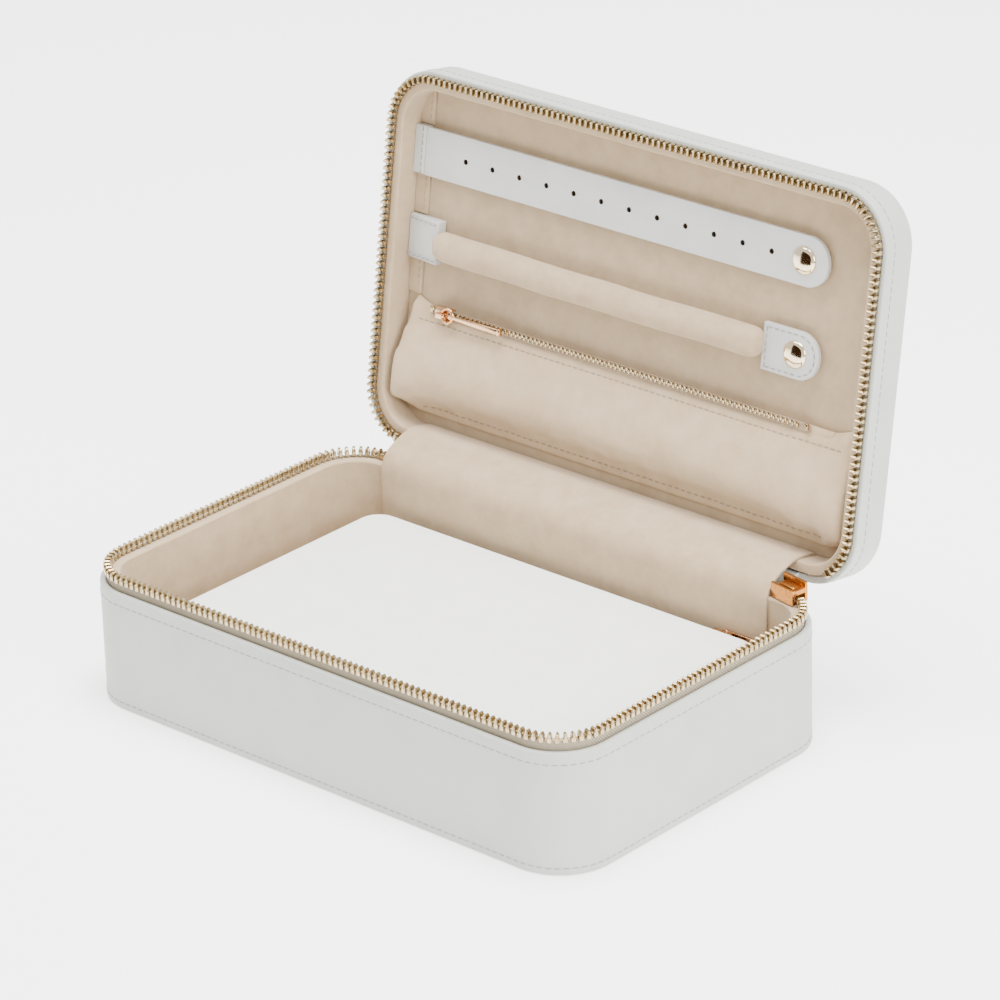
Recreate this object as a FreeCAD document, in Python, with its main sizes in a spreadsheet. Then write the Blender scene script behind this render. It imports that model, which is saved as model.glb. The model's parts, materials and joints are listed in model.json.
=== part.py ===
"""Zip-around jewellery case, open: a leather base and lid joined by a soft hinge band and a metal zip,
with a snap-down earring strip, a ring roll and a zipped pocket in the lid, and a loose zipped pouch in
the base.

The case stands open. Millimetres, +Z up, +X to the right, -Y towards the front, origin in the middle of
the base's underside. Everything in the lid is drawn where it lies when the case is shut, and is then
turned about the hinge line by the opening angle.
"""
import FreeCAD
import Part
import Sketcher
import math
import os
from FreeCAD import Placement, Rotation, Vector

doc = FreeCAD.newDocument("jewellery_case")

# ---------------------------------------------------------------- driving dimensions
SIZES = {
    # the outside of the case
    "case_width": 222.0,
    "case_depth": 138.0,
    "corner_radius": 20.5,
    "case_height": 67.7,      # shut
    "base_seam": 44.0,        # top edge of the base's leather
    "edge_round": 2.5,        # rounded edge of the lid's top
    "foot_round": 0.8,        # rounded edge of the base's bottom
    # what the walls are made of, from the outside in
    "leather_wall": 2.4,
    "tape_thick": 0.9,
    "board_thick": 2.2,
    "lining_thick": 1.5,
    "rim_round": 1.0,
    # floor of the base and top of the lid
    "bottom_leather": 1.6,
    "bottom_board": 2.2,
    "floor_lining": 1.6,
    "lid_top_leather": 1.6,
    "lid_top_board": 1.8,
    "lid_panel_thick": 1.4,
    "lining_rise": 2.4,       # how far the lining stands above the leather's edge in the base
    "lining_lip": 1.4,        # lining over the edge of the board
    # main zip
    "tooth_seat": 2.75,       # from the base's seam up to the foot of its teeth
    "lid_tooth_gap": 0.05,    # from the top of the lid's teeth to the lid's seam, shut
    "tooth_height": 3.2,
    "tooth_reach": 0.35,      # how far a tooth passes the zip plane
    "tooth_thick": 3.0,
    "stop_short": 0.8,        # how much shorter an end stop is than a tooth
    "tooth_width": 1.0,
    "tooth_pitch": 2.5,
    "tape_tuck": 7.0,         # tape sewn in behind the leather
    "slider_rest_angle": 10.0,  # where the slider parks, in degrees round the back right corner
    "slider_end_angle": 31.0,   # where the teeth end beside it
    "base_end_angle": 9.0,
    "lid_end_angle": 18.0,
    "slider_length": 11.0,
    "slider_plate": 1.1,
    "slider_lift": 0.15,      # above the foot of the base's teeth
    "slider_over_seam": 1.4,
    "inner_plate_drop": 0.3,  # its top, below the lid's seam
    "slider_play": 0.35,
    "slider_bridge": 1.6,
    "relief_depth": 1.9,      # notch in the lid's edge round the parked slider
    # hinge
    "open_angle": 99.15,
    "hinge_back": 1.65,       # hinge line behind the back of the case
    "hinge_level": 46.9,
    "hinge_left_gap": 0.5,    # band's ends, from the start of the corners
    "hinge_right_gap": 3.7,
    "band_thick": 1.6,
    "hinge_lining_thick": 1.0,
    # earring strip and ring roll
    "panel_gap": 1.9,         # snap height under the strip
    "strip_thick": 1.6,
    "strip_width": 17.4,
    "strip_corner_gap": 10.5,  # strip's middle, behind the end of the front corners
    "strip_tip": 82.6,
    "anchor_length": 5.4,
    "part_gap": 0.3,          # between pieces that move apart
    "first_hole": -79.3,
    "hole_pitch": 12.53,
    "hole_radius": 1.0,
    "hole_count": 12,
    "snap_across": 72.6,
    "roll_line": -6.4,
    "roll_width": 13.4,
    "roll_thick": 10.4,
    "roll_lift": 0.5,
    "roll_left": 88.3,
    "roll_right": 60.0,
    "tab_line": -5.4,
    "tab_width": 17.0,
    "roll_anchor_width": 16.0,
    "roll_anchor_high": 5.5,
    "roll_anchor_low": 2.0,
    "cap_radius": 4.8,
    "cap_dome": 1.5,
    "cap_rim": 0.5,
    "cap_post": 1.4,
    "socket_radius": 4.2,
    "socket_bore": 2.2,
    "stud_radius": 4.2,
    "stud_base": 0.6,
    "stud_ball": 1.75,
    # pocket in the lid
    "pocket_side_room": 0.755,  # inside the lining, besides a share of its corner
    "pocket_foot_room": 0.155,
    "pocket_top": 14.6,
    "pocket_band": 6.6,
    "pocket_edge_thick": 3.0,
    "pocket_puff": 7.0,
    "pocket_foot_thick": 2.0,
    "pocket_zip_line": 17.8,
    "pocket_zip_left": 92.0,
    "pocket_zip_right": 84.0,
    "pocket_tape_width": 6.0,
    "small_tape_thick": 0.6,
    "pocket_slider_across": -82.0,
    # small zips
    "small_tooth_height": 1.3,
    "small_tooth_width": 1.2,
    "small_tooth_long": 2.4,
    "small_tooth_pitch": 2.0,
    "small_slider_length": 8.0,
    "small_slider_plate": 0.7,
    "small_slider_wall": 0.8,
    "small_play": 0.3,
    "pull_thick": 0.9,
    "ring_outer": 3.3,
    "ring_inner": 2.1,
    "staple_width": 1.2,
    "pocket_pull_length": 28.0,
    "pull_width": 4.4,
    "main_pull_length": 24.0,
    "eye_outer": 2.3,
    "eye_inner": 1.2,
    "post_radius": 0.7,
    "post_head": 1.6,
    "post_head_thick": 0.6,
    # pouch
    "pouch_side_gap": 16.0,   # inside the lining
    "pouch_front_gap": 3.4,
    "pouch_back_gap": 5.0,
    "pouch_top": 30.8,
    "pouch_corner": 8.0,
    "pouch_leather": 1.4,
    "pouch_wall": 1.6,
    "pouch_zip_half": 78.0,
    "pouch_slider_across": 70.0,
    "pouch_pull_length": 12.0,
}

sheet = doc.addObject("Spreadsheet::Sheet", "Sizes")
for row, (alias, number) in enumerate(SIZES.items(), start=1):
    sheet.set(f"A{row}", alias)
    sheet.set(f"B{row}", str(number))
    sheet.setAlias(f"B{row}", alias)
doc.recompute()


class Size:
    """A length that carries its number and the sheet formula that gives it."""

    def __init__(self, number, formula):
        self.number = number
        self.formula = formula

    def __add__(self, other):
        other = as_size(other)
        return Size(self.number + other.number, f"({self.formula} + {other.formula})")

    def __sub__(self, other):
        other = as_size(other)
        return Size(self.number - other.number, f"({self.formula} - {other.formula})")

    def __mul__(self, factor):
        factor = as_size(factor)
        return Size(self.number * factor.number, f"({self.formula} * {factor.formula})")

    def __truediv__(self, factor):
        factor = as_size(factor)
        return Size(self.number / factor.number, f"({self.formula} / {factor.formula})")

    def __neg__(self):
        return Size(-self.number, f"(-1 * {self.formula})")


def as_size(value):
    return value if isinstance(value, Size) else Size(float(value), f"{float(value):.6f}")


def size(alias):
    return Size(float(sheet.get(alias)), f"Sizes.{alias}")


def bind(thing, prop, value):
    thing.setExpression(prop, as_size(value).formula)


# ---------------------------------------------------------------- sizes worked out from those
half_width = size("case_width") / 2
half_depth = size("case_depth") / 2
radius = size("corner_radius")
leather = size("leather_wall")
tape_inset = leather + size("tape_thick")
lining_inset = tape_inset + size("board_thick")
wall = lining_inset + size("lining_thick")
floor_board = size("bottom_leather")
floor_low = floor_board + size("bottom_board")
floor_top = floor_low + size("floor_lining")
rim_top = size("base_seam") + size("lining_rise")
board_top = rim_top - size("lining_lip")
tooth_low = size("base_seam") + size("tooth_seat")
zip_plane = tooth_low + size("tooth_height") - size("tooth_reach")
lid_tooth_low = zip_plane - size("tooth_reach")
lid_tooth_top = lid_tooth_low + size("tooth_height")
lid_seam = lid_tooth_top + size("lid_tooth_gap")
slider_low = tooth_low + size("slider_lift")
slider_height = lid_seam + size("slider_over_seam") - slider_low
inner_plate_top = lid_seam - size("inner_plate_drop")
lid_inside_top = size("case_height") - size("lid_top_leather")
lid_board_low = lid_inside_top - size("lid_top_board")
panel_face = lid_board_low - size("lid_panel_thick")
lid_rim = lid_seam + 0.1
lid_board_edge = lid_rim + size("lining_lip")
strip_back = panel_face - size("panel_gap")
strip_face = strip_back - size("strip_thick")
hinge_y = half_depth + size("hinge_back")
tooth_line = leather + size("tape_thick") / 2
strip_line = -(half_depth - radius - size("strip_corner_gap"))
corner_share = (radius - wall) * 0.27
pocket_side = half_width - wall - corner_share - size("pocket_side_room")
pocket_foot = half_depth - wall - corner_share - size("pocket_foot_room")

hinge_point = Vector(0, hinge_y.number, size("hinge_level").number)
LID_OPEN = Placement(Vector(), Rotation(Vector(-1, 0, 0), size("open_angle").number), hinge_point)
BASE = Placement()

parts = []


def keep(thing, label, placement):
    """Names a finished sub-part and puts it in its place."""
    thing.Label = label
    thing.Placement = placement
    parts.append(thing)
    return thing


# ---------------------------------------------------------------- sketches and pads
def origin_plane(body, role):
    return next(f for f in body.Origin.OriginFeatures if f.Role == role)


def sketch_on(body, role, level):
    """A sketch on one of the body's own planes, moved along its normal to the given level."""
    sketch = body.newObject("Sketcher::SketchObject", "sketch")
    sketch.AttachmentSupport = (origin_plane(body, role), [""])
    sketch.MapMode = "FlatFace"
    bind(sketch, "AttachmentOffset.Base.z", level)
    return sketch


def pin_x(sketch, edge, end, value):
    place = sketch.addConstraint(
        Sketcher.Constraint("DistanceX", -1, 1, edge, end, as_size(value).number))
    bind(sketch, f"Constraints[{place}]", value)


def pin_y(sketch, edge, end, value):
    place = sketch.addConstraint(
        Sketcher.Constraint("DistanceY", -1, 1, edge, end, as_size(value).number))
    bind(sketch, f"Constraints[{place}]", value)


def rounded_rectangle(sketch, left, right, low, high, corner):
    """Four lines joined by four tangent arcs; every side is held to its own size."""
    x0, x1, y0, y1, r = (as_size(v).number for v in (left, right, low, high, corner))
    up = Vector(0, 0, 1)
    first = sketch.GeometryCount
    lines = [
        (Vector(x0 + r, y0, 0), Vector(x1 - r, y0, 0)),
        (Vector(x1, y0 + r, 0), Vector(x1, y1 - r, 0)),
        (Vector(x1 - r, y1, 0), Vector(x0 + r, y1, 0)),
        (Vector(x0, y1 - r, 0), Vector(x0, y0 + r, 0)),
    ]
    centres = [(x1 - r, y0 + r, -90), (x1 - r, y1 - r, 0), (x0 + r, y1 - r, 90), (x0 + r, y0 + r, 180)]
    for (start, end), (cx, cy, turn) in zip(lines, centres):
        sketch.addGeometry(Part.LineSegment(start, end))
        circle = Part.Circle(Vector(cx, cy, 0), up, r)
        sketch.addGeometry(Part.ArcOfCircle(circle, math.radians(turn), math.radians(turn + 90)))
    for side in range(8):
        here, after = first + side, first + (side + 1) % 8
        sketch.addConstraint(Sketcher.Constraint("Tangent", here, 2, after, 1))
    for side, direction in enumerate(("Horizontal", "Vertical", "Horizontal", "Vertical")):
        sketch.addConstraint(Sketcher.Constraint(direction, first + 2 * side))
    for arc in (3, 5, 7):
        sketch.addConstraint(Sketcher.Constraint("Equal", first + 1, first + arc))
    place = sketch.addConstraint(Sketcher.Constraint("Radius", first + 1, r))
    bind(sketch, f"Constraints[{place}]", corner)
    pin_y(sketch, first, 1, low)
    pin_x(sketch, first + 2, 1, right)
    pin_y(sketch, first + 4, 1, high)
    pin_x(sketch, first + 6, 1, left)


def case_outline(sketch, inset):
    """The plan of the case, moved in from the outside by the inset."""
    rounded_rectangle(sketch, inset - half_width, half_width - inset,
                      inset - half_depth, half_depth - inset, radius - inset)


def polygon(sketch, corners):
    """A closed outline of straight lines with every corner held to its place."""
    spots = [Vector(as_size(a).number, as_size(b).number, 0) for a, b in corners]
    first = sketch.GeometryCount
    count = len(spots)
    for n in range(count):
        sketch.addGeometry(Part.LineSegment(spots[n], spots[(n + 1) % count]))
    for n in range(count):
        sketch.addConstraint(Sketcher.Constraint("Coincident", first + n, 2, first + (n + 1) % count, 1))
    for n, (a, b) in enumerate(corners):
        pin_x(sketch, first + n, 1, a)
        pin_y(sketch, first + n, 1, b)


def rectangle(sketch, left, right, low, high):
    polygon(sketch, [(left, low), (right, low), (right, high), (left, high)])


def circle(sketch, x, y, circle_radius):
    spot = Vector(as_size(x).number, as_size(y).number, 0)
    edge = sketch.addGeometry(Part.Circle(spot, Vector(0, 0, 1), as_size(circle_radius).number))
    place = sketch.addConstraint(Sketcher.Constraint("Radius", edge, as_size(circle_radius).number))
    bind(sketch, f"Constraints[{place}]", circle_radius)
    pin_x(sketch, edge, 3, x)
    pin_y(sketch, edge, 3, y)


def pad(body, sketch, length, backwards=False):
    feature = body.newObject("PartDesign::Pad", "pad")
    feature.Profile = sketch
    bind(feature, "Length", length)
    feature.Reversed = backwards
    return feature


def pocket(body, sketch, length, backwards=False):
    """Cuts from the sketch along its normal; the sketch stands at the low end of the cut."""
    before = body.Shape.Volume
    feature = body.newObject("PartDesign::Pocket", "pocket")
    feature.Profile = sketch
    feature.Reversed = not backwards
    bind(feature, "Length", length)
    doc.recompute()
    if not body.Shape.Volume < before - 0.01:
        raise RuntimeError(f"the pocket in {body.Name} cuts nothing")
    return feature


def inset_of(point):
    """How far a point lies inside the plan of the case."""
    over_x = abs(point.x) - half_width.number + radius.number
    over_y = abs(point.y) - half_depth.number + radius.number
    if over_x > 0 and over_y > 0:
        return radius.number - math.hypot(over_x, over_y)
    return radius.number - max(over_x, over_y)


def fillet_at(body, feature, level, fillet_radius, inset):
    """Rounds the edges of one outline, given by its inset, at one height."""
    doc.recompute()
    names = []
    for n, edge in enumerate(feature.Shape.Edges, start=1):
        box = edge.BoundBox
        flat = abs(box.ZMin - level) < 1e-4 and abs(box.ZMax - level) < 1e-4
        middle = edge.valueAt((edge.FirstParameter + edge.LastParameter) / 2)
        if flat and abs(inset_of(middle) - inset) < 1e-3:
            names.append(f"Edge{n}")
    rounding = body.newObject("PartDesign::Fillet", "fillet")
    rounding.Base = (feature, names)
    bind(rounding, "Radius", fillet_radius)
    return rounding


def new_body(name):
    return doc.addObject("PartDesign::Body", name)


def ring(label, placement, outer, inner, low, high, extra=()):
    """A wall that follows the plan of the case between two insets, with further rings padded on."""
    body = new_body(label)
    for o, i, a, b in ((outer, inner, low, high), *extra):
        sketch = sketch_on(body, "XY_Plane", a)
        case_outline(sketch, o)
        case_outline(sketch, i)
        pad(body, sketch, as_size(b) - a)
    doc.recompute()
    return keep(body, label, placement)


def plate(label, placement, inset, low, high):
    """A flat sheet of the case's plan."""
    body = new_body(label)
    sketch = sketch_on(body, "XY_Plane", low)
    case_outline(sketch, inset)
    pad(body, sketch, as_size(high) - low)
    return keep(body, label, placement)


def block(label, placement, left, right, front, back, low, high):
    body = new_body(label)
    sketch = sketch_on(body, "XY_Plane", low)
    rectangle(sketch, left, right, front, back)
    pad(body, sketch, as_size(high) - low)
    return keep(body, label, placement)


def cut_back(body, left, right, low, high):
    """Takes away the stretch of a wall behind the middle of the case between two heights."""
    sketch = sketch_on(body, "XY_Plane", low)
    rectangle(sketch, left, right, 0, half_depth + 1)
    pocket(body, sketch, as_size(high) - low)


# ---------------------------------------------------------------- base
nothing = as_size(0)


def base_leather():
    body = ring("base_wall_leather", BASE, nothing, leather, nothing, size("base_seam"))
    fillet_at(body, body.Tip, 0.0, size("foot_round"), 0.0)


def wall_board(label, placement, low, high, rebate_low, rebate_high):
    """Stiff board behind the leather, thinner by the tape where the zip is sewn in."""
    body = ring(label, placement, leather, lining_inset, low, high)
    sketch = sketch_on(body, "XY_Plane", rebate_low)
    case_outline(sketch, leather - 0.5)
    case_outline(sketch, tape_inset)
    pocket(body, sketch, as_size(rebate_high) - rebate_low)
    return body


def build_base():
    base_leather()
    plate("base_bottom_leather", BASE, leather, nothing, floor_board)
    wall_board("base_wall_board", BASE, floor_board, board_top,
               size("base_seam") - size("tape_tuck"), board_top + 1)
    plate("base_bottom_board", BASE, lining_inset, floor_board, floor_low)
    lining = ring("base_wall_lining", BASE, lining_inset, wall, floor_low, board_top,
                  [(tape_inset, wall, board_top, rim_top)])
    fillet_at(lining, lining.Tip, rim_top.number, size("rim_round"), wall.number)
    plate("base_floor_lining", BASE, wall, floor_low, floor_top)
    tuck_low = size("base_seam") - size("tape_tuck")
    tape = ring("base_zip_tape", BASE, leather, tape_inset, tuck_low, tooth_low)
    cut_back(tape, -(half_width - radius), half_width - radius,
             size("base_seam") - size("tape_tuck") - 1, tooth_low + 1)


def relieve(body):
    """The notch where the slider parks, cut in the lid's leather and tape at the back right corner."""
    middle = half_width - radius
    low = lid_seam - 1.5
    cut_back(body, middle - 3.3, middle + 9.8, low, lid_seam + size("relief_depth"))


def build_lid():
    body = new_body("lid_shell_leather")
    sketch = sketch_on(body, "XY_Plane", lid_seam)
    case_outline(sketch, nothing)
    block_pad = pad(body, sketch, size("case_height") - lid_seam)
    fillet_at(body, block_pad, size("case_height").number, size("edge_round"), 0.0)
    hollow = sketch_on(body, "XY_Plane", lid_seam)
    case_outline(hollow, leather)
    doc.recompute()
    pocket(body, hollow, lid_inside_top - lid_seam)
    relieve(body)
    keep(body, "lid_shell_leather", LID_OPEN)
    tuck_top = lid_seam + size("tape_tuck")
    wall_board("lid_wall_board", LID_OPEN, lid_board_edge, lid_inside_top,
               lid_board_edge - 1, tuck_top)
    plate("lid_top_board", LID_OPEN, lining_inset, lid_board_low, lid_inside_top)
    lining = ring("lid_wall_lining", LID_OPEN, lining_inset, wall, lid_board_edge, lid_board_low,
                  [(tape_inset, wall, lid_rim, lid_board_edge)])
    fillet_at(lining, lining.Tip, lid_rim.number, size("rim_round"), wall.number)
    plate("lid_panel", LID_OPEN, wall, panel_face, lid_board_low)
    tape = ring("lid_zip_tape", LID_OPEN, leather, tape_inset, lid_tooth_top, tuck_top)
    cut_back(tape, -(half_width - radius), half_width - radius, lid_tooth_top - 1, tuck_top + 1)
    relieve(tape)


# ---------------------------------------------------------------- main zip
def tooth_path(step_start, step_end):
    """(x, y, heading in degrees) along the line of the teeth, from the back left corner round the
    front to the back right corner. Angles count from the ends of the corner arcs at the back."""
    inset = tooth_line.number
    turn = radius.number - inset
    cx = half_width.number - radius.number
    cy = half_depth.number - radius.number
    arc = math.radians(90) * turn
    sides = [("arc", -cx, cy, 90), ("line", -cx - turn, cy, 0, -1), ("arc", -cx, -cy, 180),
             ("line", -cx, -cy - turn, 1, 0), ("arc", cx, -cy, 270), ("line", cx + turn, -cy, 0, 1),
             ("arc", cx, cy, 0)]
    lengths = [arc, 2 * cy, arc, 2 * cx, arc, 2 * cy, arc]
    total = sum(lengths)
    start = math.radians(step_start) * turn
    end = total - math.radians(step_end) * turn

    def at(distance):
        for side, long in zip(sides, lengths):
            if distance <= long + 1e-9:
                break
            distance -= long
        if side[0] == "arc":
            angle = side[3] + math.degrees(distance / turn)
            x = side[1] + turn * math.cos(math.radians(angle))
            y = side[2] + turn * math.sin(math.radians(angle))
            return x, y, angle
        x = side[1] + side[3] * distance
        y = side[2] + side[4] * distance
        angle = math.degrees(math.atan2(-side[3], side[4]))
        return x, y, angle

    return at, start, end


def zip_teeth(label, placement, low, end_angle, offset):
    """A row of separate metal teeth, one box each, square to the wall."""
    at, start, end = tooth_path(end_angle, size("slider_end_angle").number)
    pitch = size("tooth_pitch").number
    thick = size("tooth_thick").number
    wide = size("tooth_width").number
    tall = size("tooth_height").number
    first = math.ceil((start / pitch) - offset)
    teeth = []
    while (first + offset) * pitch + wide / 2 <= end:
        x, y, angle = at((first + offset) * pitch)
        tooth = Part.makeBox(thick, wide, tall, Vector(-thick / 2, -wide / 2, 0))
        tooth.Placement = Placement(Vector(x, y, low), Rotation(Vector(0, 0, 1), angle))
        teeth.append(tooth)
        first += 1
    row = doc.addObject("Part::Feature", label)
    row.Shape = Part.Compound(teeth)
    return keep(row, label, placement)


def zip_stop(label, placement, low, end_angle):
    """The clamp that ends a row of teeth at the back left corner."""
    at, start, _ = tooth_path(end_angle, 0)
    thick = size("tooth_thick").number
    tall = (size("tooth_height") - size("stop_short")).number
    x, y, angle = at(start - 1.6)
    stop = Part.makeBox(thick + 0.4, 1.8, tall, Vector(-thick / 2 - 0.2, -0.9, 0))
    stop.Placement = Placement(Vector(x, y, low), Rotation(Vector(0, 0, 1), angle))
    clamp = doc.addObject("Part::Feature", label)
    clamp.Shape = Part.Compound([stop])
    return keep(clamp, label, placement)


def build_main_zip():
    zip_teeth("base_zip_teeth", BASE, tooth_low.number, size("base_end_angle").number, 0.25)
    zip_teeth("lid_zip_teeth", LID_OPEN, lid_tooth_low.number, size("lid_end_angle").number, 0.75)
    short = size("stop_short")
    zip_stop("base_zip_stop", BASE, tooth_low.number, size("base_end_angle").number)
    zip_stop("lid_zip_stop", LID_OPEN, (lid_tooth_low + short).number, size("lid_end_angle").number)


# ---------------------------------------------------------------- hinge
def shut_to_open(y, z):
    """Where a point of the shut lid stands when the case is open."""
    spot = LID_OPEN.multVec(Vector(0, y, z))
    return spot.y, spot.z


def hinge_strip(label, outline):
    """A band along the back of the case with the given section."""
    straight = half_width - radius
    left = -(straight - size("hinge_left_gap")).number
    long = (straight - size("hinge_right_gap")).number - left
    corners = [Vector(left, y, z) for y, z in outline]
    face = Part.Face(Part.makePolygon([*corners, corners[0]]))
    strip = doc.addObject("Part::Feature", label)
    strip.Shape = face.extrude(Vector(long, 0, 0))
    return keep(strip, label, BASE)


def build_hinge():
    """The leather band and the suede that join base to lid, in the shape they take when open."""
    back = half_depth.number
    seam = size("base_seam").number
    thick = size("band_thick").number
    axis_y, axis_z = hinge_y.number, size("hinge_level").number
    outer_end = shut_to_open(back, lid_seam.number)
    inner_end = shut_to_open(back - thick, lid_seam.number)
    band = [(back - thick, seam), (back, seam), (axis_y + 1.1, axis_z - 1.2), outer_end, inner_end,
            (axis_y + 0.1, axis_z + 0.9)]
    hinge_strip("hinge_band", band)
    face = (half_depth - wall).number
    thin = size("hinge_lining_thick").number
    low = rim_top.number
    top_front = shut_to_open(face, lid_rim.number)
    top_back = shut_to_open(face + thin, lid_rim.number)
    lining = [(face, low), (face + thin, low), (axis_y - 1.4, axis_z + 3.6), top_back, top_front,
              (axis_y - 1.8, axis_z + 4.6)]
    hinge_strip("hinge_lining", lining)


# ---------------------------------------------------------------- earring strip and ring roll
def tongue(label, placement, left, right, line, width, low, high, snap_at):
    """A leather tongue with a round end and the hole for its snap."""
    body = new_body(label)
    half = width / 2
    sketch = sketch_on(body, "XY_Plane", low)
    rectangle(sketch, left, right - half, line - half, line + half)
    pad(body, sketch, as_size(high) - low)
    end = sketch_on(body, "XY_Plane", low)
    circle(end, right - half, line, half)
    pad(body, end, as_size(high) - low)
    doc.recompute()
    hole = sketch_on(body, "XY_Plane", low - 1)
    circle(hole, snap_at, line, size("cap_post"))
    pocket(body, hole, as_size(high) - low + 2)
    return keep(body, label, placement)


def turned(label, placement, profile):
    """A round piece made by turning a half section (radius, height) about its own Z axis."""
    body = new_body(label)
    sketch = sketch_on(body, "XZ_Plane", 0)
    polygon(sketch, profile)
    revolution = body.newObject("PartDesign::Revolution", "revolution")
    revolution.Profile = sketch
    revolution.ReferenceAxis = (sketch, ["V_Axis"])
    revolution.Angle = 360.0
    return keep(body, label, placement)


def snap(name, across, line, strap_placement):
    """Cap and socket on the strap, ball stud on the lid's panel. Local +Z points out of the lid."""
    outward = Rotation(Vector(1, 0, 0), 180)
    spot = Placement(Vector(across.number, line.number, panel_face.number), outward)
    gap = size("panel_gap")
    thick = size("strip_thick")
    top = gap + thick
    cap_radius = size("cap_radius")
    dome = size("cap_dome")
    rim = size("cap_rim")
    post = size("cap_post")
    sole = size("stud_base") + size("part_gap")
    turned(f"{name}_snap_cap", LID_OPEN * spot,
           [(0, gap), (post, gap), (post, top), (cap_radius, top), (cap_radius, top + rim),
            (cap_radius * 0.86, top + dome * 0.66), (cap_radius * 0.6, top + dome * 0.9), (0, top + dome)])
    turned(f"{name}_snap_socket", LID_OPEN * spot,
           [(size("socket_bore"), sole), (size("socket_radius"), sole), (size("socket_radius"), gap),
            (size("socket_bore"), gap)])
    ball = size("stud_ball")
    turned(f"{name}_snap_stud", LID_OPEN * spot,
           [(0, 0), (size("stud_radius"), 0), (size("stud_radius"), size("stud_base")),
            (ball * 0.8, size("stud_base")), (ball, gap * 0.62), (ball * 0.7, gap - 0.3), (0, gap - 0.3)])


def build_strip():
    inside = half_width - wall
    anchor_end = size("anchor_length") - inside
    half = size("strip_width") / 2
    line = strip_line
    block("strip_anchor", LID_OPEN, -inside, anchor_end, line - half, line + half, strip_face, panel_face)
    strip = tongue("earring_strip", LID_OPEN, anchor_end + size("part_gap"), size("strip_tip"), line,
                   size("strip_width"), strip_face, strip_back, size("snap_across"))
    doc.recompute()
    sketch = sketch_on(strip, "XY_Plane", strip_face - 1)
    circle(sketch, size("first_hole"), line, size("hole_radius"))
    first = pocket(strip, sketch, size("strip_thick") + 2)
    row = strip.newObject("PartDesign::LinearPattern", "row_of_holes")
    row.Originals = [first]
    row.Direction = (sketch, ["H_Axis"])
    bind(row, "Length", size("hole_pitch") * (size("hole_count") - 1))
    row.Occurrences = int(size("hole_count").number)
    strip.Tip = row
    snap("strip", size("snap_across"), line, LID_OPEN)


def build_roll():
    inside = half_width - wall
    line = size("roll_line")
    half = size("roll_width") / 2
    high = panel_face - size("roll_lift")
    roll = new_body("ring_roll")
    sketch = sketch_on(roll, "YZ_Plane", -size("roll_left"))
    rounded_rectangle(sketch, line - half, line + half, high - size("roll_thick"), high,
                      size("roll_thick") / 2 - 0.2)
    pad(roll, sketch, size("roll_left") + size("roll_right"))
    keep(roll, "ring_roll", LID_OPEN)
    tongue("roll_tab", LID_OPEN, size("roll_right"), size("strip_tip"), size("tab_line"),
           size("tab_width"), strip_face, strip_back, size("snap_across"))
    snap("roll", size("snap_across"), size("tab_line"), LID_OPEN)
    anchor = new_body("roll_anchor")
    side = size("roll_anchor_width") / 2
    wedge = sketch_on(anchor, "XZ_Plane", -(line + side))
    end = -(size("roll_left") + size("part_gap"))
    polygon(wedge, [(-inside, panel_face), (-inside, panel_face - size("roll_anchor_low")),
                    (end, panel_face - size("roll_anchor_high")), (end, panel_face)])
    pad(anchor, wedge, size("roll_anchor_width"))
    keep(anchor, "roll_anchor", LID_OPEN)


# ---------------------------------------------------------------- pocket in the lid
def build_pocket():
    body = new_body("pocket_panel")
    sketch = sketch_on(body, "YZ_Plane", -pocket_side)
    top, foot = size("pocket_top"), pocket_foot
    band = top + size("pocket_band")
    edge = panel_face - size("pocket_edge_thick")
    belly = panel_face - size("pocket_puff")
    toe = panel_face - size("pocket_foot_thick")
    third = (foot - band) / 4
    polygon(sketch, [(top, panel_face), (top, edge), (band, edge), (band + third, belly + 0.8),
                     (band + third * 2, belly), (band + third * 3, belly + 1.6), (foot, toe),
                     (foot, panel_face)])
    pad(body, sketch, pocket_side * 2)
    keep(body, "pocket_panel", LID_OPEN)
    line = size("pocket_zip_line")
    half = size("pocket_tape_width") / 2
    surface = edge - size("small_tape_thick")
    block("pocket_zip_tape", LID_OPEN, -size("pocket_zip_left"), size("pocket_zip_right"),
          line - half, line + half, surface, edge)
    outward = Placement(Vector(0, line.number, surface.number), Rotation(Vector(1, 0, 0), 180))
    left, right = -size("pocket_zip_left").number + 4, size("pocket_zip_right").number - 4
    small_teeth("pocket_zip_teeth", LID_OPEN * outward, left, right)
    small_stops("pocket_zip_stops", LID_OPEN * outward, left, right)
    place = outward * Placement(Vector(size("pocket_slider_across").number, 0, 0), Rotation())
    small_slider("pocket_zip_slider", LID_OPEN * place, staple=True)
    ring_pull("pocket_zip_pull", LID_OPEN * place)


def small_teeth(label, placement, left, right):
    """A closed row of small teeth, lying on its tape with local +Z outwards."""
    pitch = size("small_tooth_pitch").number
    wide = size("small_tooth_width").number
    long = size("small_tooth_long").number
    tall = size("small_tooth_height").number
    teeth = []
    count = int((right - left) / pitch)
    for n in range(count):
        corner = Vector(left + (n + 0.5) * pitch - wide / 2, -long / 2, 0)
        teeth.append(Part.makeBox(wide, long, tall, corner))
    row = doc.addObject("Part::Feature", label)
    row.Shape = Part.Compound(teeth)
    return keep(row, label, placement)


def small_stops(label, placement, left, right):
    """The clamps at both ends of a small zip."""
    long = size("small_tooth_long").number
    tall = size("small_tooth_height").number
    ends = []
    for x in (left - 1.6, right + 0.2):
        ends.append(Part.makeBox(1.4, long, tall * 0.8, Vector(x, -long / 2, 0)))
    stops = doc.addObject("Part::Feature", label)
    stops.Shape = Part.Compound(ends)
    return keep(stops, label, placement)


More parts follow.
